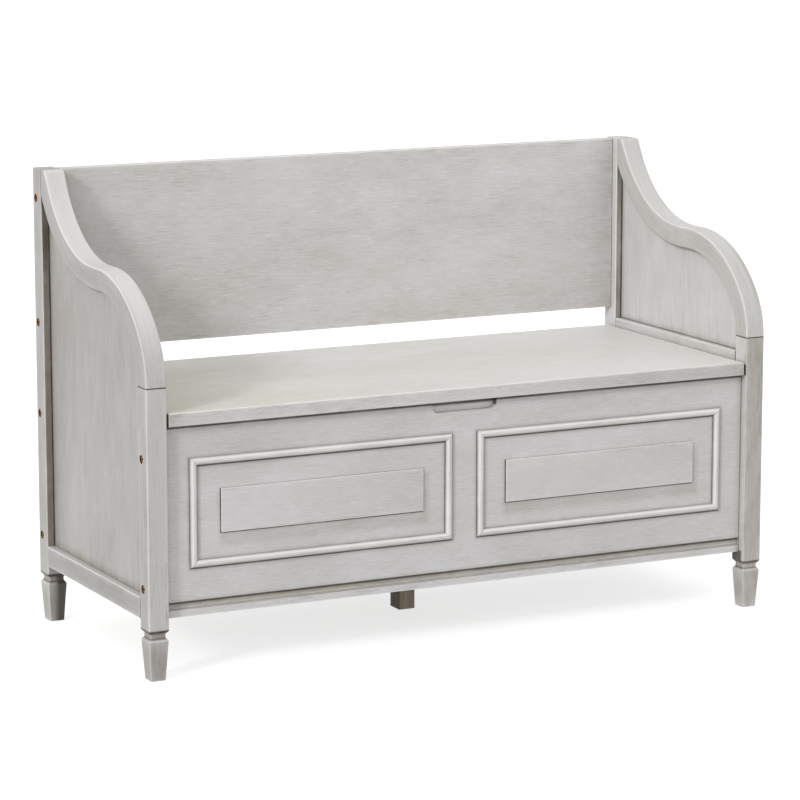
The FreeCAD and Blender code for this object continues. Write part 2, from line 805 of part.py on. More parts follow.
def frame_strips(side):
    """The four mitred strips of one frame, by name."""
    x_low, x_high, z_low, z_high = frame_outline(side)
    wide, tall = x_high - x_low, z_high - z_low
    runs = {"bottom": (wide, 0, x_low, z_low), "right": (tall, -90, x_high, z_low),
            "top": (wide, -180, x_high, z_high), "left": (tall, -270, x_low, z_high)}
    strips = {}
    for name, (length, angle, x, z) in runs.items():
        strip = moulding_strip(length)
        strip.rotate(FreeCAD.Vector(0, 0, 0), FreeCAD.Vector(0, 1, 0), angle)
        strip.translate(FreeCAD.Vector(x, y_panel_front, z))
        strips[name] = strip
    return strips


def raised_field(side):
    """Flat plaque in the middle of a frame."""
    x_low, x_high, z_low, z_high = frame_outline(side)
    y_face = y_panel_front - field_thickness
    body = box(x_low + field_inset, x_high - field_inset, y_face, y_panel_front,
               z_low + field_inset, z_high - field_inset)
    return rounded(body, field_edge_round, lambda edge: at(edge.BoundBox.YMax, y_face))


# Lid, bumpers and hinges

def hinge_places():
    """X of the middle of each hinge."""
    return [hinge_spacing * (i - (hinge_count - 1) / 2) for i in range(hinge_count)]


def hinge_screw_spots():
    """X and Y of the screws of the hinges."""
    spots = []
    for x in hinge_places():
        for step in (-1, 0, 1):
            back = hinge_outer_screw_back if step else hinge_middle_screw_back
            spots.append((x + step * hinge_screw_spread, y_lid_rear - back))
    return spots


def hinge_rod(x, half, radius):
    """Round bar on the hinge axis, half long each way from x."""
    return rod(radius, (x - half, y_hinge, z_hinge), (x + half, y_hinge, z_hinge))


def hinge_case_screw_places():
    """Screws down through the lower leaves into the hinge cleat."""
    z = z_panel_top + hinge_leaf_thickness
    return [((x, y, z), DOWN, hinge_screw_length) for x, y in hinge_screw_spots()]


def hinge_lid_screw_places():
    """Screws up through the upper leaves into the lid."""
    z = z_lid_bottom - hinge_leaf_thickness
    return [((x, y, z), UP, hinge_screw_length) for x, y in hinge_screw_spots()]


def knuckles(x, own, radius, spread):
    """Barrel parts of one leaf: every other one, starting with own."""
    pitch = hinge_length / hinge_knuckle_count
    rods = []
    for i in range(own, hinge_knuckle_count, 2):
        start = x - hinge_length / 2 + i * pitch + hinge_knuckle_gap / 2 - spread
        end = start + pitch - hinge_knuckle_gap + 2 * spread
        rods.append(rod(radius, (start, y_hinge, z_hinge), (end, y_hinge, z_hinge)))
    return rods


def hinge_leaf(x, own, z_low, screws):
    """One leaf with its barrel parts, its pin bore and its screw holes."""
    flat = box(x - hinge_length / 2, x + hinge_length / 2, y_lid_rear - hinge_leaf_reach, y_hinge,
               z_low, z_low + hinge_leaf_thickness)
    flat = less(flat, knuckles(x, 1 - own, hinge_knuckle_radius + hinge_relief, hinge_knuckle_gap))
    body = union([flat] + knuckles(x, own, hinge_knuckle_radius, 0.0))
    bore = hinge_rod(x, hinge_length / 2 + 1, hinge_pin_radius + running_clearance)
    return less(body, [bore] + [screw_hole(*place) for place in screws])


def hinge_pin(x):
    """Plain pin through all the barrel parts."""
    return hinge_rod(x, hinge_length / 2, hinge_pin_radius)


def lid_board():
    """Hinged seat board with rounded edges."""
    body = box(-x_lid, x_lid, y_lid_front, y_lid_rear, z_lid_bottom, seat_height)
    body = rounded(body, lid_top_round, lambda edge: at(edge.BoundBox.ZMin, seat_height))
    body = rounded(body, lid_bottom_round, lambda edge: at(edge.BoundBox.ZMax, z_lid_bottom)
                   and not at(edge.BoundBox.YMin, y_lid_rear))
    tools = [screw_hole(*place) for place in hinge_lid_screw_places()]
    for _, side in SIDES:
        tools += [screw_hole(*place) for place in stay_lid_screw_places(side)]
    return less(body, tools)


def lid_bumper(x):
    """Round pad on the top edge of the front panel."""
    return rod(bumper_radius, (x, y_front_bolt, z_panel_top), (x, y_front_bolt, z_lid_bottom))


# Lid stays: case plate, arm, link and lid bracket lie side by side, from
# the seat rail inwards, with a small gap between layers. The plate fills
# the space from the rail to the first gap.

plate_face = x_side_in - stay_plate_thickness
arm_layer = (plate_face - stay_layer_gap - stay_bar_thickness, plate_face - stay_layer_gap)
link_layer = (arm_layer[0] - stay_layer_gap - stay_bar_thickness, arm_layer[0] - stay_layer_gap)
ear_layer = (link_layer[0] - stay_layer_gap - stay_plate_thickness, link_layer[0] - stay_layer_gap)
case_pivot = (y_hinge - stay_case_pivot_forward, z_hinge + stay_case_pivot_up)
lid_pivot = (y_hinge - stay_lid_pivot_forward, z_hinge + stay_lid_pivot_up)
knuckle_pivot = (case_pivot[0] + lid_pivot[0] - y_hinge, case_pivot[1] + lid_pivot[1] - z_hinge)


def across(side, pivot, x_low, x_high, radius):
    """Round bar along X at a pivot."""
    return rod(radius, (side * x_low, *pivot), (side * x_high, *pivot))


def stay_bar(side, layer, first, second, hole_radii):
    """Flat bar with round ends between two pivots, with a hole at each."""
    run = FreeCAD.Vector(0, second[0] - first[0], second[1] - first[1])
    width = FreeCAD.Vector(0, -run.z, run.y).normalize() * (stay_bar_width / 2)
    a = FreeCAD.Vector(side * layer[0], *first)
    b = a + run
    flat = Part.Face(Part.makePolygon([a + width, b + width, b - width, a - width, a + width]))
    flat = flat.extrude(FreeCAD.Vector(side * (layer[1] - layer[0]), 0, 0))
    ends = [across(side, pivot, *layer, stay_bar_width / 2) for pivot in (first, second)]
    body = union([flat] + ends)
    holes = [across(side, pivot, layer[0] - 1, layer[1] + 1, radius)
             for pivot, radius in zip((first, second), hole_radii)]
    return less(body, holes)


def stay_arm(side):
    """Long arm, from the case plate to the knuckle."""
    return stay_bar(side, arm_layer, case_pivot, knuckle_pivot,
                    (stay_pin_radius + running_clearance, stay_pin_radius))


def stay_link(side):
    """Short link, from the lid bracket to the knuckle."""
    loose = stay_pin_radius + running_clearance
    return stay_bar(side, link_layer, lid_pivot, knuckle_pivot, (loose, loose))


def stay_case_screw_places(side):
    """Screws through the case plate into the seat rail."""
    y, z = case_pivot
    height = z + stay_screw_half_spacing
    outwards = FreeCAD.Vector(side, 0, 0)
    spots = [(side * plate_face, y + step, height) for step in STAY_SCREW_STEPS]
    return [(spot, outwards, stay_screw_length) for spot in spots]


def stay_case_bracket(side):
    """Plate on the seat rail that carries the long arm."""
    y, z = case_pivot
    half = stay_plate_length / 2
    plate = box(side * plate_face, side * x_seat_rail_in, y - half, y + half,
                z - stay_ear_radius, z + half)
    plate = rounded(plate, stay_ear_radius / 2, lambda edge: spans(edge, 0))
    bore = across(side, case_pivot, plate_face - 1, x_seat_rail_in + 1, stay_pin_radius)
    return less(plate, [bore] + [screw_hole(*place) for place in stay_case_screw_places(side)])


def stay_lid_screw_places(side):
    """Screws up through the flange of the lid bracket."""
    y = lid_pivot[0]
    x = side * (ear_layer[1] - stay_flange_width / 2 - stay_plate_thickness)
    z = z_lid_bottom - stay_plate_thickness
    return [((x, y + step, z), UP, stay_screw_length) for step in STAY_SCREW_STEPS]


def stay_lid_bracket(side):
    """Angle under the lid whose ear carries the link."""
    y, z = lid_pivot
    half = stay_plate_length / 2
    flange = box(side * (ear_layer[1] - stay_flange_width), side * ear_layer[1], y - half, y + half,
                 z_lid_bottom - stay_plate_thickness, z_lid_bottom)
    ear = box(side * ear_layer[0], side * ear_layer[1], y - stay_ear_radius, y + stay_ear_radius,
              z, z_lid_bottom)
    body = union([flange, ear, across(side, lid_pivot, *ear_layer, stay_ear_radius)])
    bore = across(side, lid_pivot, ear_layer[0] - 1, ear_layer[1] + 1, stay_pin_radius)
    return less(body, [bore] + [screw_hole(*place) for place in stay_lid_screw_places(side)])


def headed_pin(side, pivot, x_foot, x_end):
    """Rivet from its foot inwards or outwards, with a head beyond x_end."""
    step = math.copysign(1, x_end - x_foot)
    head_start = x_end + step * stay_head_gap
    head_end = head_start + step * stay_head_thickness
    shank = across(side, pivot, x_foot, head_end, stay_pin_radius)
    head = across(side, pivot, head_start, head_end, stay_head_radius)
    return union([shank, head])


# Build and write every sub-part

for side_name, sign in SIDES:
    save("front_post_" + side_name, [front_post(sign)])
    save("rear_post_" + side_name, [rear_post(sign)])
    save("arm_" + side_name, [arm(sign)])
    save("side_panel_" + side_name, [side_panel(sign)])
    save("lower_side_rail_" + side_name, [lower_side_rail(sign)])
    save("seat_side_rail_" + side_name, [seat_side_rail(sign)])
    save("side_cleat_" + side_name, [side_cleat(sign)])
    save("raised_field_" + side_name, [raised_field(sign)])
    for place_name, strip_shape in frame_strips(sign).items():
        save(side_name + "_frame_" + place_name + "_strip", [strip_shape])
    save("stay_arm_" + side_name, [stay_arm(sign)])
    save("stay_link_" + side_name, [stay_link(sign)])
    save("stay_knuckle_pin_" + side_name, [headed_pin(sign, knuckle_pivot, arm_layer[1], link_layer[0])])

save("backrest_board", [backrest_board()])
save("lower_back_panel", [lower_back_panel()])
save("front_panel", [front_panel()])
save("bottom_board", [bottom_board()])
save("front_bottom_rail", [front_bottom_rail()])
save("rear_cleat", [rear_cleat()])
save("hinge_cleat", [hinge_cleat()])
save("centre_bearer", [centre_bearer()])
save("centre_leg", [centre_leg()])
save("lid_board", [lid_board()])
save("lid_bumpers", [lid_bumper(sign * share * x_in) for _, sign in SIDES for share in bumper_shares])

z_lid_leaf = z_lid_bottom - hinge_leaf_thickness
case_screws = hinge_case_screw_places()
lid_screws = hinge_lid_screw_places()
save("hinge_case_leaves", [hinge_leaf(x, 0, z_panel_top, case_screws) for x in hinge_places()])
save("hinge_lid_leaves", [hinge_leaf(x, 1, z_lid_leaf, lid_screws) for x in hinge_places()])
save("hinge_pins", [hinge_pin(x) for x in hinge_places()])
save("hinge_case_screws", [screw(*place) for place in case_screws])
save("hinge_lid_screws", [screw(*place) for place in lid_screws])

save("stay_case_brackets", [stay_case_bracket(sign) for _, sign in SIDES])
save("stay_lid_brackets", [stay_lid_bracket(sign) for _, sign in SIDES])
save("stay_case_pins", [headed_pin(sign, case_pivot, x_seat_rail_in, arm_layer[0]) for _, sign in SIDES])
save("stay_lid_pins", [headed_pin(sign, lid_pivot, ear_layer[0], link_layer[1]) for _, sign in SIDES])
save("stay_case_screws", [screw(*place) for _, sign in SIDES for place in stay_case_screw_places(sign)])
save("stay_lid_screws", [screw(*place) for _, sign in SIDES for place in stay_lid_screw_places(sign)])

save("post_bolts", [bolt(side, y, z) for side, y, z, _ in bolt_places()])
save("barrel_nuts", [barrel_nut(side, y, z) for side, y, z, _ in bolt_places()])
arm_lines = arm_dowel_lines(-1) + arm_dowel_lines(1)
rail_lines = side_rail_dowel_lines(-1) + side_rail_dowel_lines(1)
thin_lines = seat_rail_dowel_lines(-1) + seat_rail_dowel_lines(1)
thin_lines += [front_rail_dowel_line(-1), front_rail_dowel_line(1)]
save("arm_dowels", [rod(dowel_radius, *line) for line in arm_lines])
save("side_rail_dowels", [rod(dowel_radius, *line) for line in rail_lines])
save("thin_dowels", [rod(small_dowel_radius, *line) for line in thin_lines])
save("floor_screws", [screw(*place) for place in floor_screw_places()])
cleat_places = back_cleat_screws() + hinge_cleat_screws() + side_cleat_screws(-1) + side_cleat_screws(1)
save("cleat_screws", [screw(*place) for place in cleat_places])
save("centre_leg_screw", [screw(*leg_screw_place())])
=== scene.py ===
"""Settle bench with a storage box: its finishes, a plain studio and the camera.

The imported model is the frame, and every piece of it stays where it is. Lengths are in
metres: X runs to the right, Y away from the viewer and Z up, with the floor at Z = 0.
"""

from __future__ import annotations

import logging
import math
import zlib
from dataclasses import dataclass, field, replace
from enum import Enum
from functools import reduce

import bpy
import numpy as np
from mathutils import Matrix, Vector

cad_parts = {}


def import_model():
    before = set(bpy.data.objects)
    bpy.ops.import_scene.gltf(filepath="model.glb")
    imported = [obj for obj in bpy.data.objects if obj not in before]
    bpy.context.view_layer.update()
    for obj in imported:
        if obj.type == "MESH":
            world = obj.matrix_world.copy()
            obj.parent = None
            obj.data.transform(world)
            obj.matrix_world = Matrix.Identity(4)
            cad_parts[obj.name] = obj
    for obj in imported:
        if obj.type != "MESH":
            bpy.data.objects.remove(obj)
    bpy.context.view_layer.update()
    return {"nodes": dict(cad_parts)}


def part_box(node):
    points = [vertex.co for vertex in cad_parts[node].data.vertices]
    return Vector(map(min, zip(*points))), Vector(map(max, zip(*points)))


LOG = logging.getLogger("settle_bench")
MM = 0.001
SIDES = ("left", "right")
SEEDS = 9973

Colour = tuple[float, float, float, float]
Span = tuple[float, float]
Triple = tuple[float, float, float]


def paint(red: int, green: int, blue: int) -> Colour:
    """Linear colour from the 0 to 255 numbers of a paint chip."""
    linear = [
        c / 12.92 if c <= 0.04045 else ((c + 0.055) / 1.055) ** 2.4
        for c in (red / 255, green / 255, blue / 255)
    ]
    return (*linear, 1.0)


def scaled(colour: Colour, level: float) -> Colour:
    """The same paint, lighter or darker by a factor."""
    return (*(min(1.0, level * part) for part in colour[:3]), 1.0)


class Grain(Enum):
    """The way in which the fibres of a board run."""

    ALONG_X = 0
    ALONG_Y = 1
    ALONG_Z = 2


# Shader maths


@dataclass(frozen=True)
class Signal:
    """A number that changes over a surface. Arithmetic on it adds Math nodes."""

    graph: "Graph"
    socket: bpy.types.NodeSocket

    def apply(self, operation: str, *values: "Signal | float") -> "Signal":
        """Result of one Math node.

        Args:
            operation: The node's operation.
            values: Its inputs, in order.

        Returns:
            The node's output.
        """
        node = self.graph.add("ShaderNodeMath", {"operation": operation}, dict(enumerate(values)))
        return Signal(self.graph, node.outputs[0])

    def __add__(self, other: "Signal | float") -> "Signal":
        """Sum."""
        return self.apply("ADD", self, other)

    def __sub__(self, other: "Signal | float") -> "Signal":
        """Difference."""
        return self.apply("SUBTRACT", self, other)

    def __rsub__(self, other: float) -> "Signal":
        """Difference from a plain number."""
        return self.apply("SUBTRACT", other, self)

    def __mul__(self, other: "Signal | float") -> "Signal":
        """Product."""
        return self.apply("MULTIPLY", self, other)

    __radd__ = __add__
    __rmul__ = __mul__

    def __abs__(self) -> "Signal":
        """Size without the sign."""
        return self.apply("ABSOLUTE", self)

    def least(self, other: "Signal | float") -> "Signal":
        """The smaller of the two."""
        return self.apply("MINIMUM", self, other)

    def most(self, other: "Signal | float") -> "Signal":
        """The larger of the two."""
        return self.apply("MAXIMUM", self, other)

    def above(self, other: "Signal | float") -> "Signal":
        """1 where this is larger, else 0."""
        return self.apply("GREATER_THAN", self, other)

    def root(self) -> "Signal":
        """Square root."""
        return self.apply("SQRT", self)

    def ramp(self, start: float, end: float, low: float = 0.0, high: float = 1.0,
             smooth: bool = True) -> "Signal":
        """Follow this number between two values and stay level outside them.

        Args:
            start: Where the result is low.
            end: Where the result is high.
            low: First result.
            high: Last result.
            smooth: Ease in and out, in place of a straight line.

        Returns:
            The mapped number.
        """
        settings = {"interpolation_type": "SMOOTHSTEP" if smooth else "LINEAR"}
        values = {"Value": self, "From Min": start, "From Max": end, "To Min": low, "To Max": high}
        node = self.graph.add("ShaderNodeMapRange", settings, values)
        return Signal(self.graph, node.outputs[0])


class Tree:
    """A node tree. All the nodes that are added to one come from here."""

    def __init__(self, tree: bpy.types.NodeTree) -> None:
        """Work on a tree that is there."""
        self.tree = tree

    def add(self, kind: str, settings: dict | None = None, values: dict | None = None) -> bpy.types.Node:
        """Add one node.

        Args:
            kind: The node's type.
            settings: Its own properties, which are set first.
            values: Numbers, colours or links for its sockets, by name or place.

        Returns:
            The node.
        """
        node = self.tree.nodes.new(kind)
        for name, value in (settings or {}).items():
            setattr(node, name, value)
        self.feed(node, values or {})
        return node

    def feed(self, node: bpy.types.Node, values: dict) -> None:
        """Set or link some of a node's sockets.

        Args:
            node: The node.
            values: Numbers, colours or links for its sockets, by name or place.
        """
        for key, value in values.items():
            source = value.socket if isinstance(value, Signal) else value
            if isinstance(source, bpy.types.NodeSocket):
                self.tree.links.new(source, node.inputs[key])
            else:
                node.inputs[key].default_value = source


class Graph(Tree):
    """The node tree of one material, with its Principled shader."""

    def __init__(self, part: bpy.types.Object, finish: str) -> None:
        """Start an empty material.

        Args:
            part: The piece that gets it.
            finish: The kind of finish, for the material's name.
        """
        self.part = part
        self.material = bpy.data.materials.new(f"{part.name}_{finish}")
        self.material.use_nodes = True
        super().__init__(self.material.node_tree)
        self.tree.nodes.clear()
        self.shader = self.add("ShaderNodeBsdfPrincipled")
        self.add("ShaderNodeOutputMaterial", None, {"Surface": self.shader.outputs[0]})
        self.place = self.add("ShaderNodeTexCoord").outputs["Object"]
        parts = self.add("ShaderNodeSeparateXYZ", None, {0: self.place})
        self.x, self.y, self.z = (Signal(self, output) for output in parts.outputs)
        self.wide = abs(self.x)

    def mix(self, share: Signal | float, first: object, second: object) -> bpy.types.NodeSocket:
        """Colour between two colours, by a share from 0 to 1."""
        node = self.add("ShaderNodeMix", {"data_type": "RGBA"}, {0: share, 6: first, 7: second})
        return node.outputs[2]

    def stretched(self, scale: Triple, shift: Triple = (0.0, 0.0, 0.0)) -> bpy.types.NodeSocket:
        """The pattern's coordinates, stretched.

        Args:
            scale: Cells for each metre along the three axes.
            shift: Move of the pattern, in cells, so that pieces differ.

        Returns:
            The coordinates.
        """
        values = {"Vector": self.place, "Scale": scale, "Location": shift}
        return self.add("ShaderNodeMapping", None, values).outputs[0]

    def follow(self, across: Signal, over: Signal, along: Signal) -> None:
        """Lay the pattern by three signals in place of X, Y and Z."""
        joined = self.add("ShaderNodeCombineXYZ", None, {0: across, 1: over, 2: along})
        self.place = joined.outputs[0]

    def noise(self, place: bpy.types.NodeSocket, detail: float = 2.0, rough: float = 0.5,
              twist: float = 0.0) -> Signal:
        """Noise from 0 to 1 on coordinates that are already scaled."""
        values = {"Vector": place, "Scale": 1.0, "Detail": detail, "Roughness": rough, "Distortion": twist}
        node = self.add("ShaderNodeTexNoise", {"noise_dimensions": "3D"}, values)
        return Signal(self, node.outputs[0])

    def from_box(self, x: Span | None = None, y: Span | None = None, z: Span | None = None,
                 one_side: bool = False) -> Signal:
        """Distance to an upright box, the largest of the distances along its axes.

        Args:
            x: Extent across.
            y: Extent from front to back.
            z: Extent in height. An axis that is left out doesn't bound the box.
            one_side: Take the extent across as it is, and not on both sides of the bench.

        Returns:
            The distance, which is 0 or less inside.
        """
        found = None
        for signal, span in ((self.x if one_side else self.wide, x), (self.y, y), (self.z, z)):
            if span is None:
                continue
            reach = abs(signal - (span[0] + span[1]) / 2) - (span[1] - span[0]) / 2
            found = reach if found is None else found.most(reach)
        return found

    def board_edge(self) -> Signal:
        """Distance to the nearest edge of a box-shaped piece, on its surface.

        One of the three distances to its pairs of faces is 0 there, and the
        next one up is the distance to an edge.
        """
        gaps = []
        for low, high, signal in zip(*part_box(self.part.name), (self.x, self.y, self.z)):
            gaps.append((high - low) / 2 - abs(signal - (low + high) / 2))
        first, second, third = gaps
        return first.least(second).most(first.most(second).least(third))

    def finish(self, colour: object, rough: Signal | float, height: Signal | None = None,
               depth: float = 0.0, **shine: float) -> None:
        """Connect the surface to the shader, and put the material in all the piece's slots.

        Args:
            colour: Base colour, plain or linked.
            rough: Roughness, plain or linked.
            height: Relief of the surface, from 0 to 1.
            depth: How deep that relief is.
            shine: Further plain values of the shader's sockets, with _ for a space.
        """
        values = {"Base Color": colour, "Roughness": rough}
        values.update({name.replace("_", " "): value for name, value in shine.items()})
        if height is not None:
            bump = self.add("ShaderNodeBump", None, {"Height": height, "Distance": depth})
            values["Normal"] = bump.outputs[0]
        self.feed(self.shader, values)
        if not self.part.material_slots:
            self.part.data.materials.append(self.material)
        for slot in self.part.material_slots:
            slot.material = self.material


# Finishes


@dataclass(frozen=True)
class Crease:
    """Dark glaze in joints, and painted shade in corners, recesses and under overhangs: a line and a soft
    band, whose widths are in millimetres.
    """

    distance: Signal
    line: float
    line_strength: float
    shade: float
    shade_strength: float

    def line_mask(self) -> Signal:
        """Amount of dark glaze and painted shade in the line, from 0 to 1."""
        width = self.line * MM
        return self.distance.ramp(0.4 * width, width, self.line_strength, 0.0)

    def shade_mask(self) -> Signal:
        """Amount of thin brown glaze and painted shade beside the line, from 0 to 1."""
        return self.distance.ramp(0.0, self.shade * MM, self.shade_strength, 0.0)


@dataclass
class Marks:
    """What a piece's shape does to its finish: glaze and painted shade, worn edges and painted light."""

    creases: list[Crease] = field(default_factory=list)
    edge: Signal | None = None
    patina: Signal | None = None
    painted_light: Signal | None = None
    dull: Signal | None = None

    def glaze_and_shade_line(self) -> Signal:
        """The strongest of the dark lines."""
        return reduce(Signal.most, (crease.line_mask() for crease in self.creases))

    def glaze_and_painted_shade(self) -> Signal:
        """The strongest of the brown shades."""
        return reduce(Signal.most, (crease.shade_mask() for crease in self.creases))


@dataclass(frozen=True)
class Fibres:
    """Noise that runs along the grain of one piece, and differs from piece to piece."""

    graph: Graph
    grain: Grain
    steps: tuple[Span, ...]

    def noise(self, cell: Span, *settings: float) -> Signal:
        """Noise stretched along the fibres.

        Args:
            cell: Its size along the grain and across it.
            settings: Detail, roughness and distortion.

        Returns:
            The noise, from 0 to 1.
        """
        seed = zlib.crc32(self.graph.part.name.encode()) % SEEDS
        shift = tuple(seed * step % turn for step, turn in self.steps)
        scale = [1 / cell[1]] * 3
        scale[self.grain.value] = 1 / cell[0]
        return self.graph.noise(self.graph.stretched(tuple(scale), shift), *settings)


@dataclass(frozen=True)
class Wash:
    """Grey-white wash brushed along the grain, with glaze and painted shade in corners, pale worn edges and
    painted light on some faces.
    """

    light: Colour = paint(208, 206, 208)
    cloud: Colour = paint(181, 179, 172)
    warm: Colour = paint(192, 189, 177)
    dash: Colour = paint(128, 120, 108)
    # The glaze and dark colours paint glaze and also painted shade in creases; the pale colour below them
    # paints worn edges and also painted light.
    glaze: Colour = paint(116, 102, 80)
    dark: Colour = paint(50, 42, 31)
    rubbed_and_painted_light: Colour = paint(234, 232, 229)
    grey: Colour = paint(152, 149, 147)
    cloudiness: float = 0.36
    warmth: float = 0.2
    dashes: float = 0.3
    smudges: float = 0.6
    streak_length: float = 26.0 * MM
    streak_width: float = 1.9 * MM
    edge_width: float = 2.0 * MM
    edge_strength: float = 0.55
    roughness: float = 0.46
    relief: float = 0.22 * MM
    thickness: float = 1.22
    cloud_cell: Span = (0.26, 0.12)
    smudge_cell: Span = (0.06, 0.024)
    fibre_cell: Span = (0.010, 0.0010)
    tint_cell: Span = (0.45, 0.15)
    steps: tuple[Span, ...] = ((0.37, 91), (0.61, 83), (0.83, 97))

    def toned(self, level: float) -> "Wash":
        """The same wash with its two main colours lighter or darker by a factor."""
        return replace(self, light=scaled(self.light, level), cloud=scaled(self.cloud, level))

    def dress(self, graph: Graph, grain: Grain, marks: Marks) -> None:
        """Give a piece this finish.

        Args:
            graph: Its material, in which the marks were measured.
            grain: The way its fibres run.
            marks: Where glaze and painted shade gather, where edges wear and where light is painted.
        """
        fibres = Fibres(graph, grain, self.steps)
        cloud = fibres.noise(self.cloud_cell, 3.0, 0.55, 0.4)
        smudge = fibres.noise(self.smudge_cell, 3.0, 0.55, 0.5)
        streak = fibres.noise((self.streak_length, self.streak_width), 2.0, 0.6, 0.15)
        fibre = fibres.noise(self.fibre_cell, 1.0, 0.5)
        patch = (cloud - 0.5) * 1.3 + (smudge - 0.5) * self.smudges
        share = (patch + (streak - 0.5) * 0.4 + self.cloudiness).ramp(0.0, 1.0, smooth=False)
        colour = graph.mix(share, self.light, self.cloud)
        tint = fibres.noise(self.tint_cell, 2.0, 0.5).ramp(0.42, 0.7, 0.0, self.warmth)
        if marks.patina is not None:
            tint = tint.most(marks.patina * smudge.ramp(0.3, 0.6, 0.7, 1.0))
        colour = graph.mix(tint, colour, self.warm)
        # Painted light: the wash is made paler on tops, ledges and in the pocket, as the marks give it.
        if marks.painted_light is not None:
            colour = graph.mix(marks.painted_light * smudge.ramp(0.3, 0.6, 0.86, 1.0), colour, self.rubbed_and_painted_light)
        if marks.dull is not None:
            colour = graph.mix(marks.dull, colour, self.grey)
        thick = (patch * 0.9 + 0.62).most(0.2)
        grains = (streak * 0.5 + fibre * 0.5).ramp(0.53, 0.68) * thick * self.dashes
        colour = graph.mix(grains, colour, self.dash)
        pale = (streak * 0.5 + fibre * 0.5).ramp(0.47, 0.34) * self.dashes
        colour = graph.mix(pale, colour, scaled(self.light, self.thickness))
        colour = self.age(graph, colour, marks, smudge, streak)
        rough = (streak - 0.5) * 0.18 + (share - 0.5) * 0.12 + self.roughness
        height = streak * 0.55 + fibre * 0.45
        graph.finish(colour, rough, height, self.relief, Coat_Weight=0.06, Coat_Roughness=0.35)

    def age(self, graph: Graph, colour: object, marks: Marks, smudge: Signal, streak: Signal) -> object:
        """Rub the edges pale, with a brown line beside them, and let glaze and painted shade gather in
        creases; on a moulding the pale line is a painted highlight.

        Args:
            graph: The piece's material.
            colour: Its colour so far.
            marks: Its edges and creases.
            smudge: Coarse noise.
            streak: Fine noise.

        Returns:
            The new colour.
        """
        if marks.edge is not None:
            width = self.edge_width
            soft = marks.edge.ramp(0.0, 4.5 * width, 0.3 * self.edge_strength, 0.0)
            worn = (marks.edge + (smudge - 0.5) * width).ramp(0.4 * width, width, self.edge_strength, 0.0)
            beside = abs(marks.edge - 2.1 * width).ramp(0.2 * width, width, 1.0, 0.0)
            brown = beside * (smudge * 0.6 + streak * 0.4).ramp(0.5, 0.66, 0.0, 0.34)
            colour = graph.mix(brown, colour, self.glaze)
            colour = graph.mix(worn.most(soft), colour, self.rubbed_and_painted_light)
        if marks.creases:
            # Painted shade: the creases darken corners, recesses and the undersides of overhangs, along with
            # the glaze in the joints.
            shade = marks.glaze_and_painted_shade() * (smudge + streak * 0.5).ramp(0.55, 0.95, 0.7, 1.0)
            colour = graph.mix(shade, colour, self.glaze)
            line = marks.glaze_and_shade_line() * smudge.ramp(0.3, 0.5, 0.75, 1.0)
            colour = graph.mix(line, colour, self.dark)
        return colour


@dataclass(frozen=True)
class Stain:
    """Plain wood under a thin brown-grey stain."""

    light: Colour = paint(190, 180, 160)
    dark: Colour = paint(138, 124, 102)
    deepest: Colour = paint(52, 43, 29)
    roughness: float = 0.62
    relief: float = 0.35 * MM
    band_cell: Span = (0.4, 0.022)
    streak_cell: Span = (0.05, 0.0018)
    steps: tuple[Span, ...] = ((0.29, 71), (0.53, 67), (0.71, 79))

    def dress(self, graph: Graph, grain: Grain, deep: Signal | None = None) -> None:
        """Give a piece this finish.

        Args:
            graph: Its material.
            grain: The way its fibres run.
            deep: How much darker the wood is, from 0 to 1: darker stain and painted shade.
        """
        fibres = Fibres(graph, grain, self.steps)
        band = fibres.noise(self.band_cell, 3.0, 0.55, 1.2)
        streak = fibres.noise(self.streak_cell, 3.0, 0.65, 0.2)
        share = (band * 0.7 + streak * 0.5 - 0.1).ramp(0.15, 0.85)
        colour = graph.mix(share, self.light, self.dark)
        if deep is not None:
            colour = graph.mix(deep, colour, self.deepest)
        rough = (streak - 0.5) * 0.2 + self.roughness
        graph.finish(colour, rough, streak, self.relief)


@dataclass(frozen=True)
class Metal:
    """Plated steel with fine scratches."""

    bright: Colour
    dull: Colour
    roughness: float

    def dress(self, part: bpy.types.Object) -> None:
        """Give a piece this finish."""
        graph = Graph(part, "metal")
        spots = graph.noise(graph.stretched((900.0, 900.0, 900.0)), 3.0, 0.6)
        scratch = graph.noise(graph.stretched((300.0, 4000.0, 2500.0)), 2.0, 0.6)
        colour = graph.mix(spots.ramp(0.35, 0.75), self.bright, self.dull)
        rough = (spots - 0.5) * 0.25 + (scratch - 0.5) * 0.15 + self.roughness
        graph.finish(colour, rough, scratch, 0.02 * MM, Metallic=1.0)


@dataclass(frozen=True)
class Rubber:
    """Soft grey pad."""

    light: Colour = paint(88, 88, 86)
    dark: Colour = paint(62, 62, 61)

    def dress(self, part: bpy.types.Object) -> None:
        """Give a piece this finish."""
        graph = Graph(part, "rubber")
        dust = graph.noise(graph.stretched((700.0, 700.0, 700.0)), 4.0, 0.6)
        graph.finish(graph.mix(dust, self.light, self.dark), dust * 0.2 + 0.7, dust, 0.1 * MM)


BRASS = Metal(paint(206, 154, 74), paint(138, 92, 38), 0.4)
ZINC = Metal(paint(200, 202, 204), paint(150, 152, 156), 0.36)


# The bench


@dataclass(frozen=True)
class Frame:
    """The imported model's pieces."""

    nodes: dict[str, bpy.types.Object]

    def graph(self, name: str, finish: str = "wash") -> Graph:
        """A new material for one piece."""
        return Graph(self.nodes[name], finish)


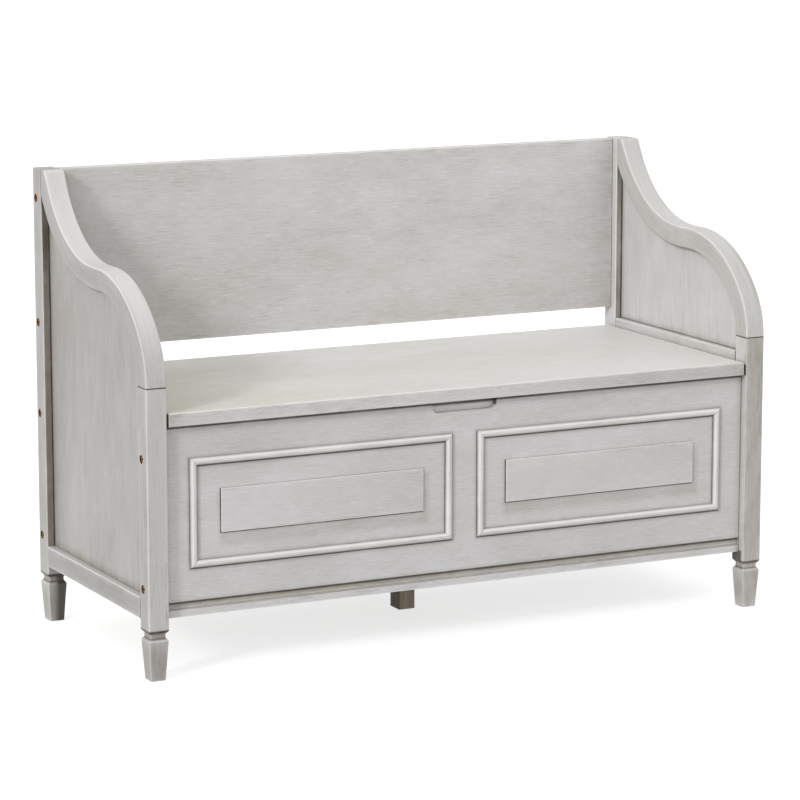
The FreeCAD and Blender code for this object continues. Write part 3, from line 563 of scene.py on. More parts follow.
@dataclass(frozen=True)
class ArmLine:
    """The S line of an arm's top edge, seen from the side.

    It has a front arc, a shoulder arc, a level run and a hollow arc up to the crest. All
    the arm's other edges, and the top of the side panel, are that line moved inwards.
    """

    joint: tuple[float, float]
    rear_y: float
    front_radius: float = 121.0 * MM
    shoulder_radius: float = 200.0 * MM
    shoulder_rise: float = 156.5 * MM
    crest_rise: float = 127.5 * MM
    level_run: float = 26.7 * MM
    crest_flat: float = 17.0 * MM
    band: float = 34.0 * MM

    def inwards(self, graph: Graph) -> Signal:
        """Distance inwards from the S line: each stretch has its own formula.

        On a bulging arc it is the radius less the distance to the centre, on the level
        run a height, and on the hollow arc the distance to the centre less the radius.
        """
        y0, z0 = self.joint
        level = z0 + self.shoulder_rise
        step = self.shoulder_radius - self.front_radius
        turn = math.acos((self.shoulder_radius - self.shoulder_rise) / step)
        shoulder_y = y0 + self.front_radius + step * math.sin(turn)
        hollow_y = shoulder_y + self.level_run
        run = self.rear_y - self.crest_flat - hollow_y
        hollow_radius = (run ** 2 + self.crest_rise ** 2) / (2 * self.crest_rise)

        def reach(y: float, z: float) -> Signal:
            """Distance to a centre, seen from the side."""
            dy, dz = graph.y - y, graph.z - z
            return (dy * dy + dz * dz).root()

        front = self.front_radius - reach(y0 + self.front_radius, z0)
        shoulder = self.shoulder_radius - reach(shoulder_y, level - self.shoulder_radius)
        hollow = reach(hollow_y, level + hollow_radius) - hollow_radius
        past_front = ((graph.y - y0 - self.front_radius) * math.cos(turn)
                      + (graph.z - z0) * math.sin(turn)).above(0.0)
        found = front + past_front * (shoulder - front)
        found = found + graph.y.above(shoulder_y) * (level - graph.z - found)
        return found + graph.y.above(hollow_y) * (hollow - found)


@dataclass(frozen=True)
class EndLook:
    """What sets one end of the bench apart: the photo shows the left one darker."""

    wash: Wash
    arm_wash: Wash
    arm_top_painted_light: Span
    front_glaze: float
    front_painted_light: float
    rail_shade_tone: float


END_WASH = Wash(cloudiness=0.42, dashes=0.28, smudges=0.75, streak_length=60.0 * MM, streak_width=2.4 * MM)
ARM_WASH = Wash(streak_length=30.0 * MM, streak_width=2.2 * MM, smudges=1.3, edge_width=1.6 * MM,
                edge_strength=0.42)
# The left end's washes are painted darker and the right end's lighter, as painted shade and painted light;
# the arm tops and the left front post's front face are painted paler as painted light, and the end rails
# darker as painted shade. The right front post keeps more glaze on its front.
END_LOOKS = {
    "left": EndLook(
        wash=replace(END_WASH, light=paint(173, 171, 171), cloud=paint(149, 145, 139)),
        arm_wash=replace(ARM_WASH, light=paint(176, 174, 175), cloud=paint(152, 148, 142), cloudiness=0.38),
        arm_top_painted_light=(0.22, 0.55), front_glaze=0.0, front_painted_light=0.3, rail_shade_tone=0.86),
    "right": EndLook(
        wash=replace(END_WASH, light=paint(203, 201, 203), cloud=paint(179, 176, 170)),
        arm_wash=replace(ARM_WASH, light=paint(191, 189, 190), cloud=paint(166, 163, 156), cloudiness=0.42,
                         dashes=0.36),
        arm_top_painted_light=(0.12, 0.2), front_glaze=0.4, front_painted_light=0.0, rail_shade_tone=0.94),
}


@dataclass
class SideFrames:
    """Posts, arms, side panels and rails of the two ends."""

    frame: Frame
    case_bottom: float = 92.5 * MM
    shoulder_line: float = 590.0 * MM
    recess_tip: float = 640.0 * MM
    arm_turn: Span = (470.0 * MM, 590.0 * MM)
    foot_top: float = 61.5 * MM
    neck_low: float = 66.5 * MM
    neck_high: float = 72.0 * MM
    shaft_low: float = 77.0 * MM
    toe_inset: float = 4.5 * MM
    flare_inset: float = 0.5 * MM
    neck_inset: float = 4.1 * MM
    front_panel_heights: Span = (92.0 * MM, 384.0 * MM)
    smudge_height: float = 26.0 * MM
    smudge_half: float = 6.0 * MM
    foot_fade: float = 10.0
    recess_fade: float = 60.0
    shoulder_fade: float = 0.05
    bolt_sink_radius: float = 6.3 * MM
    bolt_y: dict[str, float] = field(default_factory=lambda: {"front": -207.0 * MM, "rear": 215.5 * MM})
    front_bolts: tuple[float, ...] = (140.0 * MM, 339.0 * MM)
    rear_bolts: tuple[float, ...] = (140.0 * MM, 339.0 * MM, 485.7 * MM, 684.5 * MM)

    def __post_init__(self) -> None:
        """Read the planes that the pieces share."""
        low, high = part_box("front_post_right")
        self.x_in, self.x_out = low[0], high[0]
        self.y_front, self.y_front_in = low[1], high[1]
        self.z_joint = high[2]
        low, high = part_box("rear_post_right")
        self.y_rear_in, self.z_top = low[1], high[2]
        low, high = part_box("side_panel_right")
        self.x_panel = (low[0], high[0])
        low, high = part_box("lower_side_rail_right")
        self.z_rail = (low[2], high[2])
        low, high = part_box("seat_side_rail_right")
        self.z_seat_rail = (low[2], high[2])
        low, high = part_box("lid_board")
        self.z_lid = (low[2], high[2])
        self.line = ArmLine((self.y_front, self.z_joint), self.y_rear_in)

    def dress(self) -> None:
        """Finish both ends."""
        for side in SIDES:
            self.dress_front_post(side)
            self.dress_rear_post(side)
            self.dress_arm(side)
            self.dress_panel(side)
            self.dress_lower_rail(side)
            self.dress_seat_rail(side)
            LOG.info("%s end dressed", side)

    def post_inset(self, graph: Graph) -> Signal:
        """How far the sides of a post lie inside its box at each height."""
        foot = graph.z.ramp(0.0, self.foot_top, self.toe_inset, self.flare_inset, smooth=False)
        flare = graph.z.ramp(self.foot_top, self.neck_low, 0.0,
                             self.neck_inset - self.flare_inset, smooth=False)
        shaft = graph.z.ramp(self.neck_high, self.shaft_low, 0.0, -self.neck_inset, smooth=False)
        return foot + flare + shaft

    def post_edge(self, graph: Graph) -> Signal:
        """Distance to the upright corners of a post, and to the rim of its foot."""
        low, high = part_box(graph.part.name)
        gaps = [(high[1] - low[1]) / 2 - abs(graph.y - (low[1] + high[1]) / 2),
                (self.x_out - self.x_in) / 2 - abs(graph.wide - (self.x_in + self.x_out) / 2)]
        upright = gaps[0].most(gaps[1]) - self.post_inset(graph)
        return upright.least(graph.z + 0.4 * MM).least(abs(graph.z - self.foot_top) + 1.1 * MM)

    def foot_creases(self, graph: Graph) -> list[Crease]:
        """Glaze and painted shade under the shaft, glaze round the neck and in soft smudges on the foot."""
        neck = graph.from_box(None, None, (self.neck_low - 1 * MM, self.shaft_low))
        return [
            # Painted shade and glaze under the overhang of the shaft.
            Crease(abs(graph.z - self.shaft_low + 0.6 * MM), 2.8, 0.97, 5.0, 0.8),
            Crease(neck, 0.1, 0.0, 2.0, 0.5),
            Crease(abs(graph.z - self.neck_low + 0.8 * MM), 1.6, 0.45, 3.0, 0.7),
            Crease(abs(graph.z - self.smudge_height) - self.smudge_half, 0.1, 0.0, 30.0, 0.3),
        ]

    def bolt_crease(self, graph: Graph, place: str, bolts: tuple[float, ...]) -> Crease:
        """Dark glaze and painted shade inside the bolt holes of the outer face.

        Args:
            graph: The post's material.
            place: front or rear.
            bolts: Heights of the bolts.

        Returns:
            The crease.
        """
        nearest = abs(graph.z - bolts[0])
        for height in bolts[1:]:
            nearest = nearest.least(abs(graph.z - height))
        dy = graph.y - self.bolt_y[place]
        around = (dy * dy + nearest * nearest).root() - self.bolt_sink_radius
        bore = around.most(graph.wide - (self.x_out - 0.2 * MM))
        return Crease(bore, 0.6, 1.0, 0.8, 0.3)

    def panel_creases(self, graph: Graph, face: float, top: float) -> list[Crease]:
        """Glaze and painted shade on a post where a side panel and a bottom rail meet it, and painted shade
        in the recess under the arm.

        Args:
            graph: The post's material.
            face: Y of the post's face towards the panel.
            top: Top of the post.

        Returns:
            The creases.
        """
        heights = (self.z_rail[1], top)
        outside = graph.from_box((self.x_panel[1], self.x_out - 2.0 * MM), (face, face), heights)
        above_seat = (self.z_seat_rail[1], top)
        inside = graph.from_box((self.x_in + 2.0 * MM, self.x_panel[0]), (face, face), above_seat)
        return [
            Crease(graph.from_box(self.x_panel, (face, face), heights), 3.4, 0.95, 9.0, 0.5),
            Crease(outside, 2.0, 0.22, 2.0, 0.7),
            Crease(graph.from_box(self.x_panel, (face, face), self.z_rail), 0.8, 0.4, 3.0, 0.15),
            Crease(inside, 1.2, 0.2, 1.6, 0.6),
            # Painted shade in the recess under the arm, darker towards the arm's tip.
            Crease(outside * self.recess_fade + (self.recess_tip - graph.z), 110.0, 0.7, 90.0, 0.5),
        ]

    def dress_front_post(self, side: str) -> None:
        """Finish a front post, whose front face keeps more glaze on the right end and is painted paler on the
        left end as painted light, with painted shade beside the lid and painted shadow under the rail.
        """
        look = END_LOOKS[side]
        graph = self.frame.graph(f"front_post_{side}")
        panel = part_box("front_panel")[0][1]
        inner = (self.x_in, self.x_in)
        beside = (self.z_lid[0], self.z_lid[1] - 5.0 * MM)
        lid_gap_shade = graph.from_box(inner, (self.y_front + 1.5 * MM, self.y_front_in), beside)
        beside_panel = graph.from_box(inner, (panel, panel), self.front_panel_heights)
        behind_rail = (self.y_front + 8.0 * MM, self.y_front_in)
        under_rail_shadow = graph.from_box(inner, behind_rail, (self.shaft_low, self.case_bottom))
        creases = self.foot_creases(graph) + self.panel_creases(graph, self.y_front_in, self.z_joint)
        # Painted shade in the gap beside the lid, and painted shadow under the bottom rail.
        creases += [
            self.bolt_crease(graph, "front", self.front_bolts),
            Crease(beside_panel, 1.2, 0.5, 9.0, 0.28),
            Crease(lid_gap_shade, 1.0, 0.7, 1.0, 0.4),
            Crease(under_rail_shadow, 3.0, 0.85, 6.0, 0.6),
            Crease(abs(graph.z - self.z_joint), 1.4, 0.97, 2.5, 0.3),
            Crease(graph.y - self.y_front - 0.8 * MM, 0.1, 0.0, 2.0, look.front_glaze),
        ]
        # Painted light: the front face above the foot is painted paler, on the left end only.
        front = (graph.y - self.y_front).ramp(0.5 * MM, 2.5 * MM, look.front_painted_light, 0.0)
        front = front * (graph.z - self.foot_top).above(0.0)
        streaky = replace(look.wash, dashes=0.42, edge_strength=0.42)
        streaky.dress(graph, Grain.ALONG_Z, Marks(creases, self.post_edge(graph), painted_light=front))

    def dress_rear_post(self, side: str) -> None:
        """Finish a rear post, whose foot is dark on its front towards the inside."""
        graph = self.frame.graph(f"rear_post_{side}")
        above = (graph.z - self.shaft_low) * self.foot_fade
        behind = (graph.y - self.y_rear_in - self.toe_inset - 1.5 * MM) * self.foot_fade
        inwards = (graph.wide - self.x_in - self.toe_inset).most(above).most(behind)
        creases = self.foot_creases(graph) + self.panel_creases(graph, self.y_rear_in, self.z_top)
        creases += [
            self.bolt_crease(graph, "rear", self.rear_bolts),
            Crease(inwards, 19.0, 0.85, 24.0, 0.7),
        ]
        END_LOOKS[side].wash.dress(graph, Grain.ALONG_Z, Marks(creases, self.post_edge(graph)))

    def dress_arm(self, side: str) -> None:
        """Finish an arm: its grain follows the S line, glaze and painted shade lie at its joints and under
        its edge, and its top is painted paler as painted light.
        """
        graph = self.frame.graph(f"arm_{side}")
        inwards = self.line.inwards(graph)
        graph.follow(graph.x, inwards, graph.y - graph.z)
        band = self.line.band
        across = (self.x_out - self.x_in) / 2 - abs(graph.wide - (self.x_in + self.x_out) / 2)
        edge = across.most(inwards)
        panel = abs(graph.wide - sum(self.x_panel) / 2) - (self.x_panel[1] - self.x_panel[0]) / 2
        # Glaze and painted shade under the arm's edge and where it meets the panel; dark glaze in the joints
        # with the post.
        creases = [
            Crease(panel.most(band - inwards), 1.5, 0.8, 9.0, 0.35),
            Crease(band - inwards, 1.3, 0.4, 5.0, 0.2),
            Crease(abs(graph.z - self.z_joint), 1.2, 0.95, 2.0, 0.3),
            Crease(abs(graph.y - self.y_rear_in), 0.7, 0.35, 2.0, 0.1),
        ]
        # Painted light: the top is painted paler, more so higher up.
        crest = graph.z.ramp(self.z_top - 20 * MM, self.z_top - 6 * MM, 0.0, 4.0 * MM)
        top = (inwards - crest).ramp(0.6 * MM, 2.4 * MM, 1.0, 0.0)
        look = END_LOOKS[side]
        top = top * graph.z.ramp(*self.arm_turn, *look.arm_top_painted_light)
        look.arm_wash.dress(graph, Grain.ALONG_Z, Marks(creases, edge, painted_light=top))

    def dress_panel(self, side: str) -> None:
        """Finish a side panel, with glaze and painted shade along its whole outline and under the arm."""
        graph = self.frame.graph(f"side_panel_{side}")
        inwards = self.line.inwards(graph)
        outline = (graph.y - self.y_front_in).least(self.y_rear_in - graph.y)
        below = 1.0 - graph.z.above(self.z_joint)
        curved = inwards - self.line.band + below
        shoulder = curved.most((graph.z - self.shoulder_line) * self.shoulder_fade)
        inner_face = (graph.wide - self.x_panel[0]).above(1.0 * MM)
        rail = graph.from_box(None, None, self.z_seat_rail) + inner_face
        # Glaze and painted shade along the panel's outline, in the recess between the posts, above the rail
        # and under the arm.
        creases = [
            Crease(outline, 1.5, 0.85, 14.0, 0.28),
            Crease(graph.z - self.z_rail[1], 1.8, 0.2, 16.0, 0.4),
            Crease(curved, 1.5, 0.5, 9.0, 0.24),
            Crease(shoulder, 1.9, 0.85, 3.0, 0.3),
            Crease(rail, 1.4, 0.8, 12.0, 0.25),
        ]
        END_LOOKS[side].wash.dress(graph, Grain.ALONG_Z, Marks(creases))

    def dress_lower_rail(self, side: str) -> None:
        """Finish a bottom rail of an end, whose top is a ledge with a painted highlight, and whose wash is
        toned darker as painted shade.
        """
        graph = self.frame.graph(f"lower_side_rail_{side}")
        edge = graph.board_edge()
        top = self.z_rail[1]
        creases = [
            Crease(graph.from_box(self.x_panel, None, (top, top)), 1.6, 0.25, 6.0, 0.35),
            Crease((graph.y - self.y_front_in).least(self.y_rear_in - graph.y), 1.2, 0.6, 7.0, 0.2),
        ]
        # Painted highlight on the top of the ledge; the rail's wash is toned darker as painted shade.
        ledge = graph.z.ramp(top - 1.0 * MM, top, 0.0, 0.45)
        look = END_LOOKS[side]
        look.wash.toned(look.rail_shade_tone).dress(graph, Grain.ALONG_Y, Marks(creases, edge, painted_light=ledge))

    def dress_seat_rail(self, side: str) -> None:
        """Finish the inner rail beside the seat."""
        graph = self.frame.graph(f"seat_side_rail_{side}")
        edge = abs(graph.z - self.z_seat_rail[1]).most(graph.wide - self.x_in)
        top = self.z_seat_rail[1]
        creases = [
            Crease(graph.from_box((self.x_panel[0], self.x_panel[0]), None, (top, top)),
                   1.4, 0.8, 5.0, 0.4),
            Crease((self.y_rear_in - graph.y).least(graph.y - self.y_front_in), 1.4, 0.8, 6.0, 0.2),
        ]
        END_LOOKS[side].wash.dress(graph, Grain.ALONG_Y, Marks(creases, edge))


@dataclass
class BoxFront:
    """Front panel with its moulded frames and raised fields, and the bands below it."""

    frame: Frame
    wash: Wash = field(default_factory=lambda: Wash(smudges=0.45, dashes=0.24, cloudiness=0.33))
    moulding_width: float = 12.0 * MM
    shade_drop: float = 1.0 * MM
    haze_drop: float = 14.0 * MM
    haze_shift: float = 4.0 * MM
    pocket_half: float = 56.5 * MM
    pocket_low: float = 368.5 * MM
    pocket_corner: float = 11.0 * MM
    pocket_depth: float = 10.0 * MM
    face_depth: float = 1.0 * MM
    face_fade: float = 20.0
    top_fade: float = 4.0
    field_fade: float = 3.0

    def __post_init__(self) -> None:
        """Read the outlines of the frames and fields on the right, which the left mirrors."""
        low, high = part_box("right_frame_bottom_strip")
        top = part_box("right_frame_top_strip")[1]
        self.frame_x, self.frame_z = (low[0], high[0]), (low[2], top[2])
        low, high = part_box("raised_field_right")
        self.field_x, self.field_z = (low[0], high[0]), (low[2], high[2])
        self.field_face = low[1]
        self.low, self.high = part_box("front_panel")
        self.pocket_back = self.low[1] + self.pocket_depth

    def dress(self) -> None:
        """Finish the whole front."""
        self.dress_panel()
        for side in SIDES:
            for place in ("bottom", "right", "top", "left"):
                self.dress_strip(f"{side}_frame_{place}_strip", place)
            self.dress_field(f"raised_field_{side}", side)
        self.dress_bands()
        LOG.info("front of the box dressed")

    def centre_line(self, graph: Graph) -> Signal:
        """Distance to a line round each frame, a little below the middle of its moulding."""
        heights = (self.frame_z[0] - self.shade_drop, self.frame_z[1] - self.shade_drop)
        return abs(graph.from_box(self.frame_x, None, heights) + self.moulding_width / 2)

    def pocket_outline(self, graph: Graph) -> Signal:
        """Distance to the rim of the finger pocket, less than 0 inside: a box with round corners.

        It is the distance to the box that holds the corners' centres, less their radius.
        """
        across = (graph.wide - self.pocket_half + self.pocket_corner).most(0.0)
        down = (self.pocket_low + self.pocket_corner - graph.z).most(0.0)
        return (across * across + down * down).root() - self.pocket_corner

    def sided(self, span: Span, side: str, shift: float = 0.0) -> Span:
        """Extent across of something on the right, or of its mirror image on the left."""
        low, high = span if side == "right" else (-span[1], -span[0])
        return low + shift, high + shift

    def dress_panel(self) -> None:
        """Glaze and painted shade beside the mouldings, at the ends and round the pocket, a darker haze below
        and right of the fields, painted shadow under the lid and in the pocket's roof, and painted light
        inside the pocket.
        """
        graph = self.frame.graph("front_panel")
        strip = self.centre_line(graph) - self.moulding_width / 2
        field_shade_line = graph.from_box(self.field_x, None, (self.field_z[0] - 0.8 * MM, self.field_z[1] - 0.8 * MM))
        hazes = []
        for side in SIDES:
            heights = (self.field_z[0] - self.haze_drop, self.field_z[1] - self.haze_drop)
            across = self.sided(self.field_x, side, self.haze_shift)
            hazes.append(graph.from_box(across, None, heights, one_side=True))
        deep = graph.y - self.low[1] - self.face_depth
        outline = self.pocket_outline(graph)
        pocket_roof_shadow = (self.high[2] - graph.z).most((0.0 - deep) * self.face_fade).most(outline)
        # Painted shade: the lines beside the mouldings and round each field are dropped below them, the ends
        # beside the posts and the top under the lid's edge are darkened, and the pocket's roof is painted as
        # shadow; glaze lies in the joints as well. Below and right of each field lies a darker haze.
        creases = [
            Crease(strip, 1.4, 0.85, 7.0, 0.34),
            Crease(field_shade_line, 1.3, 0.85, 3.0, 0.35),
            Crease(hazes[0].least(hazes[1]), 0.1, 0.0, 13.0, 0.26),
            Crease(self.high[0] - graph.wide, 1.4, 0.7, 12.0, 0.14),
            Crease(graph.z - self.low[2], 1.6, 0.75, 8.0, 0.25),
            Crease((self.high[2] - graph.z).most(deep * self.top_fade), 3.4, 0.9, 5.0, 0.25),
            Crease(abs(outline).most(abs(graph.y - self.pocket_back)), 1.2, 0.3, 2.5, 0.2),
            Crease(abs(outline).most(self.high[2] - graph.z - 9.0 * MM).most(0.0 - deep), 1.0, 0.7, 2.0, 0.4),
            Crease(pocket_roof_shadow, 8.0, 0.97, 9.0, 0.4),
        ]
        # Painted light: the inside of the pocket is painted paler.
        pocket = deep.above(0.0) * 0.8
        self.wash.dress(graph, Grain.ALONG_X, Marks(creases, painted_light=pocket))

    def dress_strip(self, name: str, place: str) -> None:
        """Finish one moulding: pale bead with a painted highlight on its lit flank, painted shade along its
        lower and right foot, fine mitre lines.

        Args:
            name: The strip.
            place: Which side of its frame it is.
        """
        graph = self.frame.graph(name)
        low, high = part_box(name)
        across = abs(graph.wide - sum(self.frame_x) / 2) - (self.frame_x[1] - self.frame_x[0]) / 2
        upwards = abs(graph.z - sum(self.frame_z) / 2) - (self.frame_z[1] - self.frame_z[0]) / 2
        if place in ("bottom", "top"):
            shaded, lit, grain = graph.z - low[2], high[2] - graph.z, Grain.ALONG_X
        else:
            shaded, lit, grain = high[0] - graph.x, graph.x - low[0], Grain.ALONG_Z
        # Painted shade along the bead's lower side on level strips and its right side on upright strips,
        # weaker on the lit side; fine glaze in the mitres.
        creases = [
            Crease(shaded, 1.6, 0.9, 4.0, 0.4),
            Crease(lit, 1.0, 0.35, 2.0, 0.3),
            Crease(abs(across - upwards), 0.6, 0.25, 2.5, 0.08),
        ]
        pale = replace(self.wash, light=paint(215, 213, 213), cloud=paint(192, 190, 187), cloudiness=0.28,
                       warmth=0.05, edge_width=1.5 * MM, edge_strength=0.7)
        # Painted highlight: a pale line along the bead's lit flank, 3.2 mm in from its lit side.
        edge = abs(lit - 3.2 * MM)
        pale.dress(graph, grain, Marks(creases, edge))

    def dress_field(self, name: str, side: str) -> None:
        """Finish a raised field: painted shade on its sides to the left and below, a brown band on all its
        sides, and pale worn edges.

        Args:
            name: The field.
            side: Which end of the bench it is nearer.
        """
        graph = self.frame.graph(name)
        across = self.sided(self.field_x, side)
        inside = 0.0 - graph.from_box(across, None, self.field_z, one_side=True)
        shaded = (graph.x - across[0]).least(graph.z - self.field_z[0])
        facing = (self.field_face + self.face_depth - graph.y) * self.field_fade
        # Painted shade on the side faces to the left and below, and a brown band on all the side faces.
        creases = [
            Crease(shaded.most(facing), 1.2, 0.85, 1.6, 0.5),
            Crease(inside.most(facing), 0.1, 0.0, 1.2, 0.5),
        ]
        slim = replace(self.wash, edge_width=1.3 * MM, edge_strength=0.4)
        slim.dress(graph, Grain.ALONG_X, Marks(creases, inside))

    def dress_bands(self) -> None:
        """Finish the front edge of the bottom board and the rail under it, with painted shadow under the
        front panel and glaze and painted shade beside the posts.
        """
        low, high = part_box("front_bottom_rail")
        graph = self.frame.graph("front_bottom_rail")
        edge = graph.board_edge()
        behind = (graph.y - low[1] - self.face_depth) * self.face_fade
        creases = [
            Crease((high[2] - graph.z).most(behind), 1.4, 0.35, 3.0, 0.5),
            Crease(high[0] - graph.wide, 1.6, 0.7, 12.0, 0.3),
        ]
        self.wash.dress(graph, Grain.ALONG_X, Marks(creases, edge))
        low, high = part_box("bottom_board")
        graph = self.frame.graph("bottom_board")
        behind = (graph.y - low[1] - self.face_depth) * self.face_fade
        # Painted shadow along the top of the board's front edge, under the overhanging front panel; glaze and
        # painted shade beside the posts.
        creases = [
            Crease((high[2] - graph.z).most(behind), 4.4, 0.9, 13.0, 0.8),
            Crease((graph.z - low[2]).most(behind), 0.8, 0.35, 2.0, 0.5),
            Crease((high[0] - graph.wide).most(behind), 1.6, 0.6, 12.0, 0.3),
        ]
        dull = replace(self.wash, cloudiness=0.7, warmth=0.6, dashes=0.4)
        dull.dress(graph, Grain.ALONG_X, Marks(creases))


@dataclass
class Back:
    """Backrest board above the slot, and the back of the box."""

    frame: Frame
    wash: Wash = field(default_factory=Wash)
    end_margin: float = 3.0 * MM

    def dress(self) -> None:
        """Finish both boards, with glaze and painted shade at their ends."""
        for name in ("backrest_board", "lower_back_panel"):
            graph = self.frame.graph(name)
            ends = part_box(name)[1][0] - graph.wide
            edge = graph.board_edge().most(self.end_margin - ends)
            # Glaze and painted shade at the ends, beside the arms and posts.
            creases = [
                Crease(ends, 1.6, 0.8, 5.0, 0.3),
                Crease(ends, 0.1, 0.0, 60.0, 0.2),
            ]
            self.wash.dress(graph, Grain.ALONG_X, Marks(creases, edge))
        LOG.info("back dressed")


@dataclass
class Seat:
    """The hinged lid and its pads."""

    frame: Frame
    wash: Wash = field(default_factory=lambda: Wash(
        light=paint(220, 219, 219), cloud=paint(198, 196, 193), warm=paint(216, 216, 184), warmth=0.12,
        cloudiness=0.33))
    front_fade: float = 60.0
    yellow_reach: float = 0.42
    yellow: Span = (0.45, 0.14)
    right_painted_light: float = 0.45
    brown_from: float = 0.3
    brown_reach: float = 0.24

    def dress(self) -> None:
        """Finish the lid with worn edges, glaze and painted shade at its ends and under its front edge,
        painted light towards its right end, and its pads.
        """
        graph = self.frame.graph("lid_board")
        low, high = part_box("lid_board")
        edge = graph.board_edge()
        front = graph.y - low[1]
        behind = front * self.front_fade
        sides = high[0] - graph.wide
        # Glaze and painted shade on the end edges and along the bottom of the front face; the front face is
        # darker towards both ends and browner at the right.
        creases = [
            Crease(sides, 0.8, 0.55, 2.0, 0.3),
            Crease(behind.most(sides), 0.1, 0.0, 32.0, 0.3),
            Crease((graph.z - low[2]).most(front - 3.0 * MM), 1.2, 0.4, 3.0, 0.25),
            Crease(behind.most(self.brown_from - graph.x), 0.1, 0.0, self.brown_reach / MM, 0.22),
        ]
        top = graph.z.above(high[2] - 0.8 * MM)
        patina = graph.x.ramp(low[0], low[0] + self.yellow_reach, *self.yellow) * top
        # Painted light: the top is painted lighter towards the right end.
        painted_light = graph.x.ramp(0.0, high[0], 0.0, self.right_painted_light) * top
        dull = front.ramp(0.2 * MM, 2.0 * MM, 0.3, 0.0)
        self.wash.dress(graph, Grain.ALONG_X, Marks(creases, edge, patina, painted_light, dull))
        Rubber().dress(self.frame.nodes["lid_bumpers"])
        LOG.info("seat dressed")


@dataclass
class Inside:
    """Cleats, bearer, middle leg and dowels: stained, but for the washed hinge cleat."""

    frame: Frame
    stain: Stain = field(default_factory=Stain)
    cleat_tone: float = 0.9

    def dress(self) -> None:
        """Finish what carries the floor of the box."""
        graph = self.frame.graph("hinge_cleat")
        edge = graph.board_edge()
        creases = [Crease(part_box("hinge_cleat")[1][0] - graph.wide, 1.5, 0.6, 12.0, 0.3)]
        wash = Wash().toned(self.cleat_tone)
        wash.dress(graph, Grain.ALONG_X, Marks(creases, edge))
        grains = {"side_cleat_left": Grain.ALONG_Y, "side_cleat_right": Grain.ALONG_Y,
                  "rear_cleat": Grain.ALONG_X, "centre_bearer": Grain.ALONG_Y,
                  "arm_dowels": Grain.ALONG_Z, "side_rail_dowels": Grain.ALONG_Y,
                  "thin_dowels": Grain.ALONG_Y}
        for name, grain in grains.items():
            self.stain.dress(self.frame.graph(name, "stain"), grain)
        graph = self.frame.graph("centre_leg", "stain")
        # The leg's left face is darker: partly darker stain, partly painted shade.
        side = graph.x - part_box("centre_leg")[0][0]
        deep = side.ramp(0.2 * MM, 0.9 * MM, 0.9, 0.0)
        self.stain.dress(graph, Grain.ALONG_Z, deep)
        LOG.info("inner woodwork dressed")


@dataclass
class Hardware:
    """Bolts, nuts, screws, hinges and stays."""

    frame: Frame
    zinc: tuple[str, ...] = (
        "barrel_nuts", "floor_screws", "cleat_screws", "centre_leg_screw", "hinge_case_", "hinge_lid_",
        "hinge_pins", "stay_")

    def dress(self) -> None:
        """Brass for the bolts, and zinc for all pieces whose names start as listed."""
        BRASS.dress(self.frame.nodes["post_bolts"])
        for name, part in self.frame.nodes.items():
            if name.startswith(self.zinc):
                ZINC.dress(part)
        LOG.info("hardware dressed")


# Studio


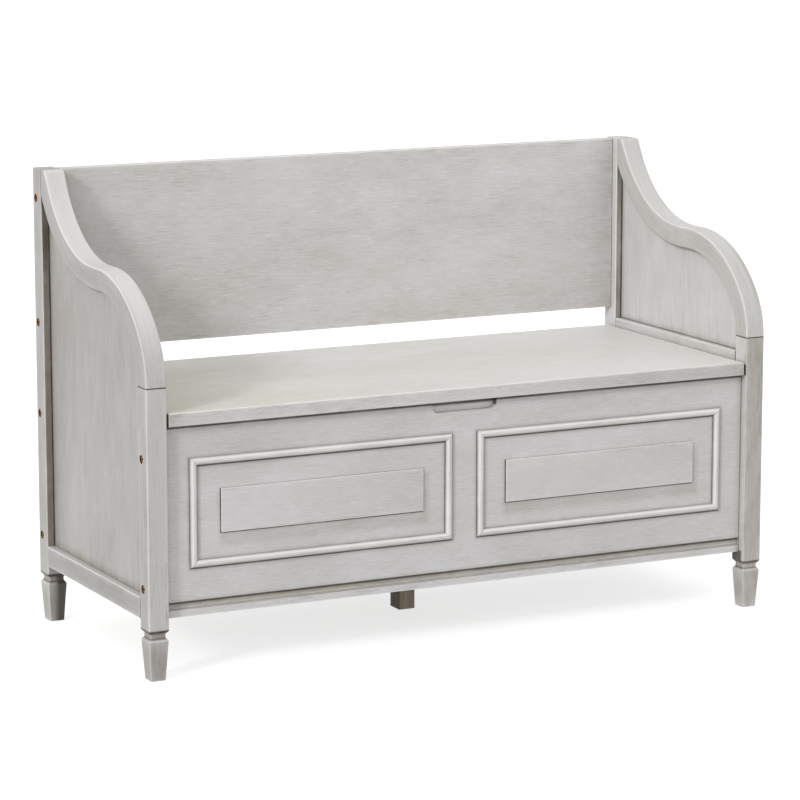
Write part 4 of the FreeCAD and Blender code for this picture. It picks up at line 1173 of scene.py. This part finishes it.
@dataclass
class Studio:
    """White floor, even light and the camera."""

    floor_radius: float = 16.0
    floor_rings: int = 24
    floor_spokes: int = 64
    floor_glow: float = 0.7
    floor_paint: Colour = paint(188, 188, 188)
    floor_roughness: float = 0.9
    world_strength: float = 0.93
    key_strength: float = 1.32
    key_angle: float = 12.0
    key_from: Triple = (-0.80, -0.42, 0.44)
    camera_place: Triple = (-2.4475, -4.8564, 1.3429)
    camera_turn: float = 26.705
    camera_fall: float = 10.338
    focal_pixels: float = 3430.4
    image_pixels: float = 800.0
    sensor: float = 36.0
    clip_end: float = 60.0

    def build(self) -> None:
        """Make the floor, the lamps, the world and the camera."""
        self.build_floor()
        self.build_lights()
        self.build_camera()
        LOG.info("studio built")

    def build_floor(self) -> None:
        """Round flat sheet: a point is a radius and an angle, with rings that widen outwards."""
        radius = self.floor_radius * np.linspace(0.0, 1.0, self.floor_rings + 1)[1:] ** 2
        angle = np.linspace(0.0, 2 * np.pi, self.floor_spokes, endpoint=False)
        grid_r, grid_a = np.meshgrid(radius, angle, indexing="ij")
        points = np.stack([grid_r * np.cos(grid_a), grid_r * np.sin(grid_a), 0 * grid_r], -1)
        points = np.vstack([points.reshape(-1, 3), np.zeros((1, 3))])
        outer = self.floor_spokes
        ring, spoke = np.meshgrid(np.arange(self.floor_rings - 1), np.arange(outer), indexing="ij")
        here = ring * outer + spoke
        beside = ring * outer + (spoke + 1) % outer
        faces = np.stack([here, here + outer, beside + outer, beside], -1).reshape(-1, 4).tolist()
        middle = len(points) - 1
        faces += [[middle, i, (i + 1) % outer] for i in range(outer)]
        mesh = bpy.data.meshes.new("studio_floor")
        mesh.from_pydata(points.tolist(), [], faces)
        floor = bpy.data.objects.new("studio_floor", mesh)
        bpy.context.scene.collection.objects.link(floor)
        graph = Graph(floor, "white")
        glow = graph.mix(self.background_rays(graph), paint(0, 0, 0), paint(255, 255, 255))
        graph.finish(self.floor_paint, self.floor_roughness, Specular_IOR_Level=0.0,
                     Emission_Color=glow, Emission_Strength=self.floor_glow)

    def background_rays(self, graph: Graph) -> Signal:
        """1 for rays that show the background: to the camera, mirrored or through glass."""
        path = graph.add("ShaderNodeLightPath")
        seen = Signal(graph, path.outputs["Is Camera Ray"])
        for name in ("Is Glossy Ray", "Is Transmission Ray"):
            seen = seen.most(Signal(graph, path.outputs[name]))
        return seen

    def build_lights(self) -> None:
        """A soft key from the upper left, and a white world that lights evenly."""
        lamp = bpy.data.lights.new("key", "SUN")
        lamp.energy = self.key_strength
        lamp.angle = math.radians(self.key_angle)
        key = bpy.data.objects.new("key", lamp)
        x, y, z = self.key_from
        key.rotation_euler = (math.atan2(math.hypot(x, y), z), 0.0, math.atan2(x, -y))
        bpy.context.scene.collection.objects.link(key)
        world = bpy.data.worlds.new("white_world")
        world.use_nodes = True
        bpy.context.scene.world = world
        sky = Tree(world.node_tree)
        seen = sky.add("ShaderNodeLightPath").outputs["Is Camera Ray"]
        span = {"Value": seen, "To Min": self.world_strength, "To Max": 1.0}
        level = sky.add("ShaderNodeMapRange", None, span)
        values = {"Strength": level.outputs[0], "Color": (1.0, 1.0, 1.0, 1.0)}
        sky.feed(world.node_tree.nodes["Background"], values)
        bpy.context.scene.view_settings.view_transform = "Standard"

    def build_camera(self) -> None:
        """Long lens from the front left, looking slightly down."""
        data = bpy.data.cameras.new("camera")
        data.sensor_width = self.sensor
        data.lens = self.focal_pixels * self.sensor / self.image_pixels
        data.clip_end = self.clip_end
        camera = bpy.data.objects.new("camera", data)
        camera.location = self.camera_place
        camera.rotation_euler = (math.radians(90.0 - self.camera_fall), 0.0, -math.radians(self.camera_turn))
        bpy.context.scene.collection.objects.link(camera)
        bpy.context.scene.camera = camera


def main() -> None:
    """Load the frame, dress every piece and build the studio."""
    logging.basicConfig(level=logging.INFO, format="%(message)s")
    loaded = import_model()
    frame = Frame(loaded["nodes"])
    for group in (SideFrames, BoxFront, Back, Seat, Inside, Hardware):
        group(frame).dress()
    Studio().build()


if __name__ == "__main__":
    main()
